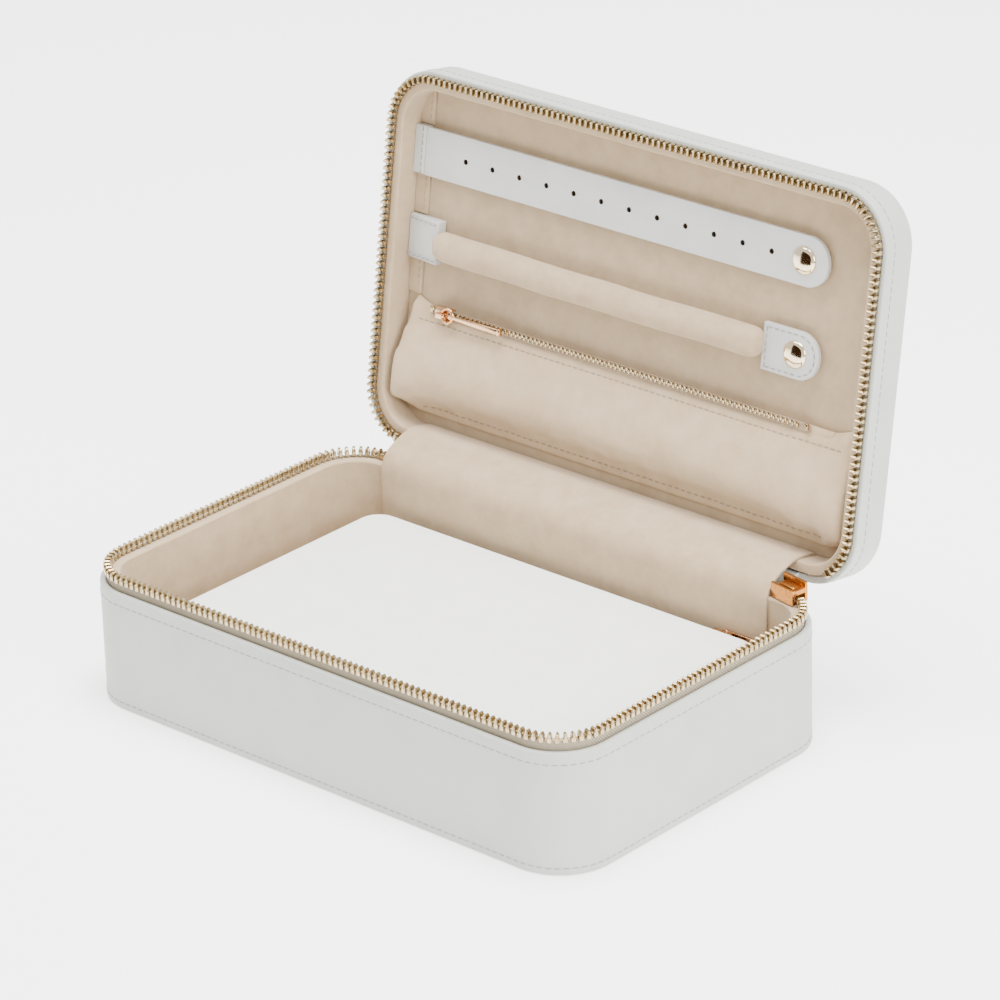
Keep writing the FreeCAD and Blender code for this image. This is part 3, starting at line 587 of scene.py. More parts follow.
def zip_tape(name, low_z, high_z, body, node, lid=False):
    ob = band(name, LEATHER, low_z, high_z, TAPE, 0.2 * MM)
    back = DEPTH / 2 - CORNER * 0.55
    edge = WIDTH / 2 - CORNER
    drop_faces(ob, lambda c, n: c.y > back and abs(c.x) < edge - 1e-4)
    edit(ob)
    bpy.ops.mesh.select_all(action="SELECT")
    bpy.ops.mesh.fill_holes(sides=0)
    done()
    if lid:
        cut(ob, notch())
    return finish_piece(ob, body, TWILL, [node], lid=lid)


zip_tape("base_tape", BASE_SEAM - 3 * MM, TOOTH_LOW + 0.2 * MM, "base", "base_zip_tape")
zip_tape("lid_tape", LID_TOOTH_LOW + 3.0 * MM, LID_SEAM + 3 * MM, "lid", "lid_zip_tape", lid=True)

# %% Zip teeth
TOOTH_LINE = LEATHER + TAPE / 2
TOOTH_TALL = TOOTH_HIGH - TOOTH_LOW
TOOTH_PITCH = 2.5 * MM
LAST_TOOTH_ANGLE = 31


def one_tooth(name):
    """The head up, the tape's edge between the legs below. X runs along the zip."""
    wide = 1.6 * MM
    head = box("head", (wide, 3.0 * MM, 1.7 * MM), (0, 0, TOOTH_TALL - 0.85 * MM))
    edit(head)
    choose(head, "faces", lambda c, n: n.z > 0.9)
    bpy.ops.transform.resize(value=(0.55, 0.8, 1), center_override=(0, 0, TOOTH_TALL))
    done()
    bevel(head, 0.3 * MM, 1)
    legs = []
    for side in (-1, 1):
        leg = box("leg", (wide * 0.92, 0.95 * MM, 1.9 * MM), (0, side * 0.97 * MM, 0.95 * MM))
        bevel(leg, 0.22 * MM, 1)
        legs.append(leg)
    return join([head, *legs], name)


def teeth_row(name, body, nodes, level, first_angle, offset, lid=False):
    turn = CORNER - TOOTH_LINE
    total = 2 * (DEPTH - 2 * CORNER) + (WIDTH - 2 * CORNER) + 2 * math.pi * turn
    start = math.radians(first_angle) * turn
    end = total - math.radians(LAST_TOOTH_ANGLE) * turn
    pitch = TOOTH_PITCH
    first = math.ceil(start / pitch - offset)
    count = int((end - 0.6 * MM) / pitch - offset) - first + 1
    tooth = one_tooth(name)
    if lid:
        edit(tooth)
        bpy.ops.mesh.select_all(action="SELECT")
        bpy.ops.transform.resize(value=(1, 1, -1), center_override=(0, 0, TOOTH_TALL / 2))
        bpy.ops.mesh.flip_normals()
        done()
    tooth.location.z = level
    settle(tooth)
    along(tooth, path_curve("tooth_line", TOOTH_LINE, level), count, pitch, (first + offset) * pitch)
    return finish_piece(tooth, body, PALE_GOLD, nodes, lid=lid, angle=20)


teeth_row("base_teeth", "base", ["base_zip_teeth"], TOOTH_LOW, 9, 0.25)
teeth_row("lid_teeth", "lid", ["lid_zip_teeth"], LID_TOOTH_LOW, 18, 0.75, lid=True)

# %% [markdown]
# ## Lid
# The lid's leather is a shallow tray with a softly rounded top edge. It is made as the base is, upside
# down. The top edge gets its own wider bevel first, because it is softer than the sewn edges, and a
# notch is cut where the slider is parked.

# %% Lid shell
shell = plan("lid_shell", 0, LID_SEAM, segments=18)
raise_plan(shell, LID_TOP - LID_SEAM)
edit(shell)
choose(shell, "edges", lambda c, e: c.z > LID_TOP - 1e-5 and all(len(f.verts) > 4 or abs(f.normal.z) < 0.5
                                                                  for f in e.link_faces))
bpy.ops.mesh.bevel(offset=2.5 * MM, segments=5, affect="EDGES")
done()
drop_faces(shell, lambda c, n: n.z < -0.9)
thicken(shell, LEATHER - 0.1 * MM)
bevel(shell, 0.6 * MM, 3, 60)
cut(shell, notch())
finish_piece(shell, "lid", CASE_WHITE_SHADED, ["lid_shell_leather"], lid=True)

# %% Lid lining
lid_rim = LID_SEAM + 0.1 * MM
wall = band("lid_lining_wall", LINING, lid_rim + 1.2 * MM, PANEL + 0.5 * MM, WALL - LINING)
rim = band("lid_lining_rim", LEATHER + TAPE, lid_rim, lid_rim + 1.8 * MM, WALL - LEATHER - TAPE, 0.75 * MM)
lining = join([wall, rim], "lid_lining")
finish_piece(lining, "lid", SUEDE, ["lid_wall_lining"], lid=True)
panel = slab("lid_back_panel", WALL, PANEL, PANEL + 1.3 * MM, 0.4 * MM)
finish_piece(panel, "lid", SUEDE, ["lid_panel"], lid=True)

# %% [markdown]
# ## Hinge
# Leather outside and suede inside join base and lid over most of their width. A cloth simulation could
# drape them, but each is held along both edges, so a grid laid along a smooth curve gives the same bend.
# It is drawn as it lies with the lid open and is not attached to a moving body.

# %% Hinge band and lining
def turned_open(y, z):
    spot = OPEN @ Vector((0, y, z))
    return spot.y, spot.z


def bent_sheet(name, spots, left, right, thickness, nodes, material):
    """A grid laid along a smooth curve through the given (y, z) spots."""
    spots = np.array(spots)
    steps = np.r_[0, np.cumsum(np.linalg.norm(np.diff(spots, axis=0), axis=1))]
    steps /= steps[-1]
    clear()
    bpy.ops.mesh.primitive_grid_add(x_subdivisions=60, y_subdivisions=24, size=1)
    ob = bpy.context.object
    ob.name = name
    fine = np.linspace(0, 1, 200)
    y = np.interp(fine, steps, spots[:, 0])
    z = np.interp(fine, steps, spots[:, 1])
    for _ in range(60):
        y[1:-1] = (y[:-2] + 2 * y[1:-1] + y[2:]) / 4
        z[1:-1] = (z[:-2] + 2 * z[1:-1] + z[2:]) / 4
    for v in ob.data.vertices:
        t = v.co.y + 0.5
        s = v.co.x + 0.5
        puff = math.sin(s * 37) * 0.00012 + math.sin(s * 11 + 1) * 0.0002
        weight = math.sin(math.pi * t)
        v.co = (left + (right - left) * s, np.interp(t, fine, y) + puff * weight,
                np.interp(t, fine, z) + puff * weight)
    thicken(ob, thickness, 0.0)
    smooth(ob)
    ob.data.materials.append(material)
    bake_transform(ob)
    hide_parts(*nodes)
    return ob


bent_sheet("hinge_leather",
           [(DEPTH / 2 - 1.2 * MM, BASE_SEAM - 1.5 * MM), (DEPTH / 2 - 0.6 * MM, BASE_SEAM),
            (HINGE.y + 0.6 * MM, HINGE.z - 0.4 * MM), (HINGE.y + 3.5 * MM, HINGE.z + 1.1 * MM),
            turned_open(DEPTH / 2 - 1.2 * MM, LID_SEAM + 1.5 * MM)],
           -88 * MM, 86.6 * MM, 1.0 * MM, ["hinge_band"], CASE_WHITE_SHADED)
lid_edge = turned_open(DEPTH / 2 - WALL - 0.3 * MM, LID_SEAM - 0.3 * MM)
panel_low = turned_open(DEPTH / 2 - WALL - 0.5 * MM, LID_SEAM + 9.5 * MM)
wall_y = DEPTH / 2 - WALL - 0.45 * MM
bent_sheet("hinge_suede",
           [(wall_y, FLOOR + 0.6 * MM), (wall_y, RIM - 6 * MM), (wall_y + 0.1 * MM, RIM - 0.5 * MM),
            (wall_y + 1.2 * MM, RIM + 2.6 * MM), (wall_y + 4.2 * MM, RIM + 5.2 * MM),
            (wall_y + 8.6 * MM, RIM + 6.9 * MM), (lid_edge[0] - 2 * MM, lid_edge[1] + 0.5 * MM),
            (lid_edge[0] + 3 * MM, lid_edge[1]), panel_low],
           -89 * MM, 87.0 * MM, 0.8 * MM, ["hinge_lining"], SUEDE)

# %% [markdown]
# ## Earring strip
# A flat white leather strip with a round right end, twelve small holes and a snap. Its left end is
# sewn under a fold of the lining. The holes could be dark dots in the material, but they are really cut,
# so that light falls into them; their inner walls get a near-black material that paints the shade in them.

# %% Strap maker
def strap(name, left, right, line, width, low_z, high_z, holes=(), hole=1.0 * MM):
    """A leather tongue: a plane whose end corners are rounded, raised, pierced and softly bevelled."""
    clear()
    bpy.ops.mesh.primitive_plane_add(size=1, location=((left + right) / 2, line, low_z))
    ob = bpy.context.object
    ob.name = name
    ob.scale = (right - left, width, 1)
    bpy.ops.object.transform_apply(location=True, rotation=True, scale=True)
    edit(ob)
    choose(ob, "verts", lambda c: c.x > (left + right) / 2)
    bpy.ops.mesh.bevel(offset=width * 0.495, segments=14, affect="VERTICES")
    done()
    raise_plan(ob, high_z - low_z)
    for x in holes:
        clear()
        bpy.ops.mesh.primitive_cylinder_add(vertices=20, radius=hole, depth=20 * MM,
                                            location=(x, line, low_z))
        cut(ob, bpy.context.object)
    bevel(ob, 0.35 * MM, 3)
    return ob


def small_stitches(name, spots, body, material, lid=True, long=1.7 * MM, thick=0.42 * MM):
    """Single stitches at given (x, y, z, heading) places, joined to one piece."""
    clear()
    bpy.ops.mesh.primitive_cube_add(size=1, scale=(long, thick, thick * 0.8))
    first = bpy.context.object
    bpy.ops.object.transform_apply(location=True, rotation=True, scale=True)
    bevel(first, thick * 0.28, 1)
    made = []
    for x, y, z, heading in spots:
        copy = first.copy()
        copy.data = first.data.copy()
        bpy.context.scene.collection.objects.link(copy)
        copy.matrix_world = Matrix.Translation((x, y, z)) @ Matrix.Rotation(heading, 4, "Z")
        made.append(copy)
    bpy.data.objects.remove(first)
    ob = join(made, name)
    settle(ob)
    return finish_piece(ob, body, material, lid=lid)


def on_surface(ob, x, y, sink=0.1 * MM):
    """The height of the piece's outer face, seen from in front of the shut lid's inside."""
    hit, spot, _, _ = ob.ray_cast(Vector((x, y, 40 * MM)), Vector((0, 0, 1)))
    return (spot.z if hit else PANEL) - sink


def round_end_row(left, right, line, half, z, pitch=2.7 * MM):
    """Places for stitches that run along a strap's edge and round its right end."""
    spots = []
    x = left
    while x < right:
        spots += [(x, line - half, z, 0.0), (x, line + half, z, 0.0)]
        x += pitch
    steps = max(3, int(math.pi * half / pitch))
    for n in range(steps):
        a = -math.pi / 2 + (n + 0.5) * math.pi / steps
        spots.append((right + half * math.cos(a), line + half * math.sin(a), z, a + math.pi / 2))
    return spots


# %% Earring strip
STRIP_FACE = 59.4 * MM
STRIP_BACK = 61.0 * MM
STRIP_LINE = -38.0 * MM
SNAP_X = 72.6 * MM
holes = [(-79.3 + 12.53 * n) * MM for n in range(12)]
strip = strap("earring_strip_leather", -98.3 * MM, 82.6 * MM, STRIP_LINE, 17.4 * MM, STRIP_FACE, STRIP_BACK,
              holes)
finish_piece(strip, "earring_strip", SOFT_WHITE, ["earring_strip"], lid=True)
# The faces round each hole take the near-black material, which paints the shade inside the holes.
strip.data.materials.append(HOLE_SHADE)
shut = OPEN.inverted()
for face in strip.data.polygons:
    spot = shut @ face.center
    if min(math.hypot(spot.x - x, spot.y - STRIP_LINE) for x in holes) < 1.02 * MM:
        face.material_index = 1

root = box("strip_root", (5.4 * MM, 17.4 * MM, 3.3 * MM), (-101.3 * MM, STRIP_LINE, 61.1 * MM))
bevel(root, 0.35 * MM, 3)
finish_piece(root, "lid", SOFT_WHITE, ["strip_anchor"], lid=True)
root_row = [(-100.2 * MM, y * MM, STRIP_FACE, math.pi / 2) for y in np.arange(-45.6, -29.5, 2.6)]
small_stitches("strip_root_stitches", root_row, "lid", THREAD)

# %% Panel hem
upper = box("panel_hem", (6.2 * MM, 13.0 * MM, 1.0 * MM), (-100.9 * MM, -53.5 * MM, PANEL - 0.45 * MM))
middle = box("panel_hem", (6.2 * MM, 14.6 * MM, 1.0 * MM), (-100.9 * MM, -21.7 * MM, PANEL - 0.45 * MM))
lower = box("panel_hem", (6.2 * MM, 13.0 * MM, 1.0 * MM), (-100.9 * MM, 8.3 * MM, PANEL - 0.45 * MM))
for part in (upper, middle, lower):
    bevel(part, 0.35 * MM, 3)
hem = join([upper, middle, lower], "panel_hem")
finish_piece(hem, "lid", SUEDE, lid=True)
hem_row = [(-99.2 * MM, y * MM, PANEL - 1.0 * MM, math.pi / 2)
           for y in [*np.arange(-58, -48, 2.7), *np.arange(-27.6, -15, 2.7), *np.arange(3.2, 14, 2.7)]]
small_stitches("panel_hem_stitches", hem_row, "lid", CREAM_THREAD)

# %% [markdown]
# ## Snaps
# Each snap has a domed cap and a socket on the strap, and a ball stud on the panel. A flattened ball
# would lack the rolled rim, so a half section of each is spun round its axis, as on a lathe.

# %% Snaps
def spun(name, profile, steps=48):
    """Spins a half section of (radius, height) round the Z axis."""
    clear()
    bpy.ops.mesh.primitive_plane_add(size=1)
    ob = bpy.context.object
    ob.name = name
    edit(ob)
    bpy.ops.mesh.select_all(action="SELECT")
    bpy.ops.mesh.delete(type="VERT")
    bm = bmesh.from_edit_mesh(ob.data)
    verts = [bm.verts.new((r, 0, z)) for r, z in profile]
    for a, b in zip(verts, verts[1:]):
        bm.edges.new((a, b))
    bmesh.update_edit_mesh(ob.data)
    bpy.ops.mesh.select_all(action="SELECT")
    bpy.ops.mesh.spin(steps=steps, angle=2 * math.pi, center=(0, 0, 0), axis=(0, 0, 1))
    done()
    outward(ob)
    return ob


def snap(name, x, y, strap_body):
    """Heights are measured from the panel's face outwards."""
    spot = Matrix.Translation((x, y, PANEL)) @ Matrix.Rotation(math.pi, 4, "X")
    top = PANEL - STRIP_FACE
    cap = spun(name + "_cap", [(0, top - 0.2 * MM), (4.6 * MM, top - 0.2 * MM), (4.9 * MM, top + 0.1 * MM),
                               (4.85 * MM, top + 0.45 * MM), (4.4 * MM, top + 0.85 * MM),
                               (3.7 * MM, top + 1.15 * MM), (2.6 * MM, top + 1.38 * MM),
                               (1.3 * MM, top + 1.48 * MM), (0, top + 1.5 * MM)])
    settle(cap, spot)
    finish_piece(cap, strap_body, SNAP_GOLD, [name + "_snap_cap"], lid=True, angle=60)
    socket = spun(name + "_socket", [(2.2 * MM, 0.95 * MM), (3.9 * MM, 0.95 * MM), (4.2 * MM, 1.2 * MM),
                                     (4.2 * MM, 1.9 * MM), (2.2 * MM, 1.9 * MM), (2.2 * MM, 0.95 * MM)], 36)
    settle(socket, spot)
    finish_piece(socket, strap_body, PALE_GOLD, [name + "_snap_socket"], lid=True)
    stud = spun(name + "_stud", [(0, 0), (4.1 * MM, 0), (4.2 * MM, 0.3 * MM), (3.8 * MM, 0.55 * MM),
                                 (1.4 * MM, 0.6 * MM), (1.7 * MM, 1.1 * MM), (1.3 * MM, 1.5 * MM),
                                 (0, 1.6 * MM)], 36)
    settle(stud, spot)
    finish_piece(stud, "lid", PALE_GOLD, [name + "_snap_stud"], lid=True)


snap("strip", SNAP_X, STRIP_LINE, "earring_strip")
snap("roll", SNAP_X, -5.4 * MM, "ring_roll")

# %% [markdown]
# ## Soft padded pieces
# The ring roll and the pocket are stuffed. Each starts a little small, is remeshed finely and is blown
# up by a short cloth simulation, which pulls the cloth taut and crowns it between its seams. Sculpting
# by hand could do it too, but the simulation gives an even tension, and the same result each run.

# %% Plump
def plump(ob, voxel, pressure, cap_move, pinned, steps=20, levels=1):
    """Remeshes, inflates by cloth with the pinned points held, limits the move, and subdivides once."""
    pick(ob)
    m = ob.modifiers.new("Remesh", "REMESH")
    m.mode = "VOXEL"
    m.voxel_size = voxel
    apply_modifier(ob, "Remesh")
    before = np.array([v.co[:] for v in ob.data.vertices])
    held = ob.vertex_groups.new(name="held")
    held.add([v.index for v in ob.data.vertices if pinned(v.co)], 1.0, "REPLACE")
    m = ob.modifiers.new("Cloth", "CLOTH")
    s = m.settings
    s.use_pressure = True
    s.uniform_pressure_force = pressure
    s.effector_weights.gravity = 0
    s.vertex_group_mass = "held"
    s.quality = 5
    s.tension_stiffness = 15
    s.bending_stiffness = 0.5
    m.collision_settings.use_collision = False
    scene = bpy.context.scene
    for f in range(1, steps + 1):
        scene.frame_set(f)
    apply_modifier(ob, "Cloth")
    scene.frame_set(1)
    after = np.array([v.co[:] for v in ob.data.vertices])
    move = after - before
    far = np.linalg.norm(move, axis=1, keepdims=True)
    move *= np.minimum(1, cap_move / np.maximum(far, 1e-9))
    ob.data.vertices.foreach_set("co", (before + move).ravel())
    ob.data.update()
    ob.vertex_groups.clear()
    print(ob.name, "moved up to", round(float(far.max()) * 1000, 1), "mm")
    m = ob.modifiers.new("Smooth", "SUBSURF")
    m.levels = levels
    m.render_levels = levels
    apply_modifier(ob, "Smooth")


# %% Ring roll
ROLL_X = -14.2 * MM
ROLL_Y = -6.4 * MM
ROLL_Z = 57.2 * MM
ROLL_LONG = 147 * MM
ROLL_LEFT = -87.7 * MM
clear()
bpy.ops.mesh.primitive_cylinder_add(vertices=28, radius=5.6 * MM, depth=ROLL_LONG,
                                    rotation=(0, math.pi / 2, 0), location=(ROLL_X, ROLL_Y, ROLL_Z))
roll = bpy.context.object
roll.name = "ring_roll_suede"
bpy.ops.object.transform_apply(location=True, rotation=True, scale=True)
edit(roll)
bpy.ops.mesh.select_all(action="SELECT")
bpy.ops.transform.resize(value=(1, 1.02, 0.84), center_override=(0, ROLL_Y, ROLL_Z))
bpy.ops.mesh.subdivide(number_cuts=1)
done()
plump(roll, 1.8 * MM, 3.0, 0.8 * MM, lambda c: abs(c.x - ROLL_X) > 71 * MM)
for v in roll.data.vertices:
    s = (v.co.x - ROLL_LEFT) / ROLL_LONG
    v.co.y += (0.5 * math.sin(math.pi * s) + 0.12 * math.sin(s * 21)) * MM
    v.co.z += 0.10 * MM * math.sin(s * 33 + v.co.y * 900)
    pinch = 1 - 0.10 * math.exp(-(min(s, 1 - s) / 0.02) ** 2)
    v.co.y = ROLL_Y + (v.co.y - ROLL_Y) * pinch
finish_piece(roll, "ring_roll", SUEDE, ["ring_roll"], lid=True)

tab = strap("roll_tab_leather", 58.6 * MM, 82.6 * MM, -5.4 * MM, 16.8 * MM, STRIP_FACE - 0.3 * MM, STRIP_BACK)
finish_piece(tab, "ring_roll", SOFT_WHITE, ["roll_tab"], lid=True)
small_stitches("roll_tab_stitches", round_end_row(61.5 * MM, 74.0 * MM, -5.4 * MM, 7.0 * MM,
                                                  STRIP_FACE - 0.35 * MM), "ring_roll", THREAD)
edge_row = [(60.2 * MM, y * MM, STRIP_FACE - 0.35 * MM, math.pi / 2) for y in np.arange(-11.4, 1.5, 2.5)]
small_stitches("roll_tab_end_stitches", edge_row, "ring_roll", THREAD)

anchor = box("roll_anchor_leather", (15.2 * MM, 15.8 * MM, 4.8 * MM),
             (-96.3 * MM, ROLL_Y + 0.2 * MM, 60.4 * MM))
edit(anchor)
choose(anchor, "verts", lambda c: c.z < 60 * MM and c.x < -97 * MM)
bpy.ops.transform.translate(value=(0, 0, 2.0 * MM))
done()
bevel(anchor, 0.6 * MM, 3)
finish_piece(anchor, "lid", SOFT_WHITE, ["roll_anchor"], lid=True)
anchor_row = [(x * MM, (-6.2 + side * 6.6) * MM, (59.35 - (x + 103.6) * 0.13) * MM, 0.0)
              for x in np.arange(-102.2, -89.5, 2.5) for side in (-1, 1)]
small_stitches("roll_anchor_stitches", anchor_row, "lid", THREAD)

# %% [markdown]
# ## Pocket
# A suede pouch sewn across the lid. Its top band carries a small metal zip; below, the cloth swells
# out and is gathered into the seam at the foot. The simulation alone makes it too even, so its belly is
# drawn first, and the creases and gathers are added by formula after it.

# %% Pocket
POCKET_FOOT = 58.2 * MM
POCKET_LEFT, POCKET_RIGHT = -99.6 * MM, 99.6 * MM
POCKET_EDGE = PANEL - 3.0 * MM
LIP = 18.2 * MM

backing = box("pocket_backing", (POCKET_RIGHT - POCKET_LEFT - 16 * MM, 4.4 * MM, 2.9 * MM),
              ((POCKET_LEFT + POCKET_RIGHT) / 2, 19.8 * MM, PANEL - 1.45 * MM))
bevel(backing, 1.3 * MM, 4)

clear()
bpy.ops.mesh.primitive_cube_add(size=1, location=(0, (LIP + POCKET_FOOT) / 2, PANEL - 2.0 * MM),
                                scale=(POCKET_RIGHT - POCKET_LEFT - 1 * MM, POCKET_FOOT - LIP, 4.0 * MM))
cushion = bpy.context.object
cushion.name = "pocket_cushion"
bpy.ops.object.transform_apply(location=True, rotation=True, scale=True)
edit(cushion)
bpy.ops.mesh.select_all(action="SELECT")
bpy.ops.mesh.subdivide(number_cuts=14)
bm = bmesh.from_edit_mesh(cushion.data)


def ease(value):
    value = min(1.0, max(0.0, value))
    return value * value * (3 - 2 * value)


def pocket_depth(x, y):
    """How far the cloth stands off the panel: a full belly that tucks in to a flat ledge at the foot."""
    u = abs(x) / POCKET_RIGHT
    t = min(1, max(0, (y - LIP) / (POCKET_FOOT - LIP)))
    fold = 0.80 + 0.16 * u ** 4
    belly = 3.0 + 6.4 * ease(t / 0.6) + 0.8 * u ** 4 * ease(t / 0.7)
    ledge = 2.2 - 0.6 * t
    return (ledge + (belly - ledge) * (1 - ease((t - fold + 0.12) / 0.12))) * MM


for v in bm.verts:
    if v.co.z < PANEL - 1.0 * MM:
        share = (PANEL - v.co.z) / (4.0 * MM)
        v.co.z = PANEL - share * pocket_depth(v.co.x, v.co.y)
bmesh.update_edit_mesh(cushion.data)
done()
plump(cushion, 2.6 * MM, 2.5, 1.2 * MM,
      lambda c: c.z > PANEL - 1.2 * MM or c.y < LIP + 1.5 * MM or c.y > POCKET_FOOT - 6 * MM
      or abs(c.x) > POCKET_RIGHT - 2.5 * MM)


def pocket_folds(c):
    """Soft creases: gathers above the foot seam, a long fold at each lower corner, and a faint sag."""
    t = min(1, max(0, (c.y - LIP) / (POCKET_FOOT - LIP)))
    u = c.x / POCKET_RIGHT
    foot = math.exp(-((t - 0.84) / 0.10) ** 2)
    gather = 0.35 * foot * math.sin(c.x * 520 + 2.2 * math.sin(c.x * 90))
    right = 2.2 * math.exp(-((u - 0.80 - 0.10 * t) / 0.035) ** 2) * t ** 2
    left = 1.8 * math.exp(-((u + 0.74 + 0.10 * t) / 0.05) ** 2) * t ** 2
    sag = 0.35 * math.sin(c.x * 55 + c.y * 90) + 0.22 * math.sin(c.x * 130 - c.y * 160)
    return (gather + right + left + sag * math.sin(math.pi * t)) * MM


for v in cushion.data.vertices:
    t = min(1, max(0, (v.co.y - LIP) / (POCKET_FOOT - LIP)))
    end = max(0.0, (abs(v.co.x) - 88 * MM) / (POCKET_RIGHT - 88 * MM))
    v.co.y -= 3.6 * MM * min(1, end) ** 1.5 * (1 - t) ** 3
    if v.co.z < PANEL - 1.2 * MM:
        v.co.z = min(PANEL - 0.9 * MM, v.co.z + pocket_folds(v.co))
    v.co.x *= 1 + 0.030 * math.sin(math.pi * min(1, t * 1.1) / 1.6)
    over = max(0.0, t - 0.80) / 0.20
    edge = 1 - 0.085 * over ** 2
    v.co.x = max(-103.4 * MM, min(103.4 * MM, v.co.x)) * edge
lip_row = [(x * MM, 22.6 * MM, on_surface(cushion, x * MM, 22.6 * MM), 0.0) for x in np.arange(-94, 96, 2.7)]
foot_row = [(x * MM, 54.6 * MM, on_surface(cushion, x * MM, 54.6 * MM), 0.0) for x in np.arange(-90, 91, 2.9)]
pocket = join([cushion, backing], "pocket_suede")
finish_piece(pocket, "lid", POCKET_SUEDE, ["pocket_panel"], lid=True, angle=60)
small_stitches("pocket_top_stitches", lip_row, "lid", CREAM_THREAD, thick=0.5 * MM)
small_stitches("pocket_foot_stitches", foot_row, "lid", CREAM_THREAD, thick=0.5 * MM)

# %% Pocket zip
ZIP_Y = 17.8 * MM
SMALL = POCKET_EDGE - 0.6 * MM
SMALL_PITCH = 2.0 * MM
clear()
bpy.ops.mesh.primitive_grid_add(x_subdivisions=90, y_subdivisions=6, size=1,
                                location=(-4 * MM, ZIP_Y + 0.5 * MM, SMALL + 0.3 * MM))
tape = bpy.context.object
tape.scale = (172 * MM, 2.7 * MM, 1)
tape.name = "pocket_tape"
bpy.ops.object.transform_apply(location=True, rotation=True, scale=True)
thicken(tape, 0.55 * MM, 0)
finish_piece(tape, "lid", CREAM_TWILL, ["pocket_zip_tape"], lid=True)


def small_teeth(name, left, right, line, level, body, node, lid, place=None):
    """Interlocked small teeth: alternate ones lean to either side of the middle."""
    pair = []
    for n, side in enumerate((-1, 1)):
        tooth = box("small", (0.78 * MM, 1.2 * MM, 1.1 * MM), (n * 1.0 * MM, side * 0.32 * MM, -0.62 * MM))
        bevel(tooth, 0.18 * MM, 1)
        pair.append(tooth)
    ob = join(pair, name)
    m = ob.modifiers.new("Array", "ARRAY")
    m.use_relative_offset = False
    m.use_constant_offset = True
    m.constant_offset_displace = (SMALL_PITCH, 0, 0)
    m.count = int((right - left) / SMALL_PITCH)
    apply_modifier(ob, "Array")
    start = Matrix.Translation((left, line, level))
    if place is not None:
        start = place @ Matrix.Translation((left, 0, 0))
    settle(ob, start)
    return finish_piece(ob, body, PALE_GOLD, [node], lid=lid, angle=20)


small_teeth("pocket_teeth", -88 * MM, 80 * MM, ZIP_Y, SMALL, "lid", "pocket_zip_teeth", True)

# %% [markdown]
# ## Sliders and pulls
# These small castings have softened edges. They could all be modelled again, but their shape is already
# right in the CAD solid, so its triangles are merged and every sharp edge is bevelled. Only the pocket's
# pull, which shows most, is made anew from a ring and a bar.

# %% Softened copies
def softened(node, name, width, material, segments=2, core=None):
    """A bevelled copy of a CAD node, with a core joined to it if one is given, which stands for it."""
    source = frame["nodes"][node]
    copy = source.copy()
    copy.data = source.data.copy()
    copy.name = name
    copy.parent = None
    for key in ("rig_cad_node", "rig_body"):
        if key in copy:
            del copy[key]
    bpy.context.scene.collection.objects.link(copy)
    edit(copy)
    bpy.ops.mesh.select_all(action="SELECT")
    bpy.ops.mesh.remove_doubles(threshold=1e-6)
    bpy.ops.mesh.dissolve_limited(angle_limit=math.radians(2))
    done()
    if width:
        bevel(copy, width, segments, 30)
    if core:
        copy = join([copy, core], name)
    return finish_piece(copy, source["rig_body"], material, [node], angle=40)


softened("pocket_zip_slider", "pocket_slider_cast", 0.14 * MM, ROSE_GOLD)

# %% Pocket pull
PULL_X = -82 * MM
PULL_Z = SMALL - 1.3 * MM - 0.3 * MM - 0.7 * MM - 0.9 * MM
clear()
bpy.ops.mesh.primitive_torus_add(major_radius=2.55 * MM, minor_radius=0.62 * MM, major_segments=40,
                                 minor_segments=12, location=(PULL_X + 2.6 * MM, ZIP_Y, PULL_Z))
ring = bpy.context.object
bar = box("bar", (22.4 * MM, 2.4 * MM, 1.5 * MM), (PULL_X + 16.4 * MM, ZIP_Y, PULL_Z))
edit(bar)
choose(bar, "faces", lambda c, n: n.x < -0.9)
bpy.ops.transform.resize(value=(1, 0.62, 0.7), center_override=(PULL_X + 5 * MM, ZIP_Y, PULL_Z))
done()
bevel(bar, 0.4 * MM, 3)
tip = box("tip", (1.6 * MM, 2.7 * MM, 1.8 * MM), (PULL_X + 27.2 * MM, ZIP_Y, PULL_Z))
bevel(tip, 0.35 * MM, 2)
finish_piece(join([ring, bar, tip], "pocket_pull_cast"), "pocket_pull", ROSE_GOLD, ["pocket_zip_pull"],
             lid=True, angle=50)

# %% Other castings
softened("pocket_zip_stops", "pocket_stops_cast", 0.2 * MM, PALE_GOLD)
core = box("slider_core", (7.6 * MM, 3.8 * MM, 1.9 * MM), (0, 0, 51.2 * MM))
bevel(core, 0.5 * MM, 3)
park = math.radians(10)
reach = CORNER - 2.85 * MM
parked = (WIDTH / 2 - CORNER + reach * math.sin(park), DEPTH / 2 - CORNER + reach * math.cos(park), 0)
settle(core, Matrix.Translation(parked) @ Matrix.Rotation(-park, 4, "Z"))
softened("main_zip_slider", "main_slider_cast", 0.4 * MM, AMBER_GOLD, 4, core)
softened("main_zip_pull", "main_pull_cast", 0.2 * MM, AMBER_GOLD, 3)
softened("base_zip_stop", "base_stop_cast", 0.3 * MM, PALE_GOLD)
softened("lid_zip_stop", "lid_stop_cast", 0.3 * MM, PALE_GOLD)
softened("pouch_zip_slider", "pouch_slider_cast", 0.14 * MM, ROSE_GOLD)
softened("pouch_zip_pull", "pouch_pull_cast", 0.2 * MM, ROSE_GOLD, 3)

# %% [markdown]
# ## Pouch
# Two leather panels joined by a gusset, with a zip near the top of its back. The edges are painted a
# pale cream. The top could stay flat, but a filled pouch swells a little, so rings of faces are added
# to its top and raised towards the middle.

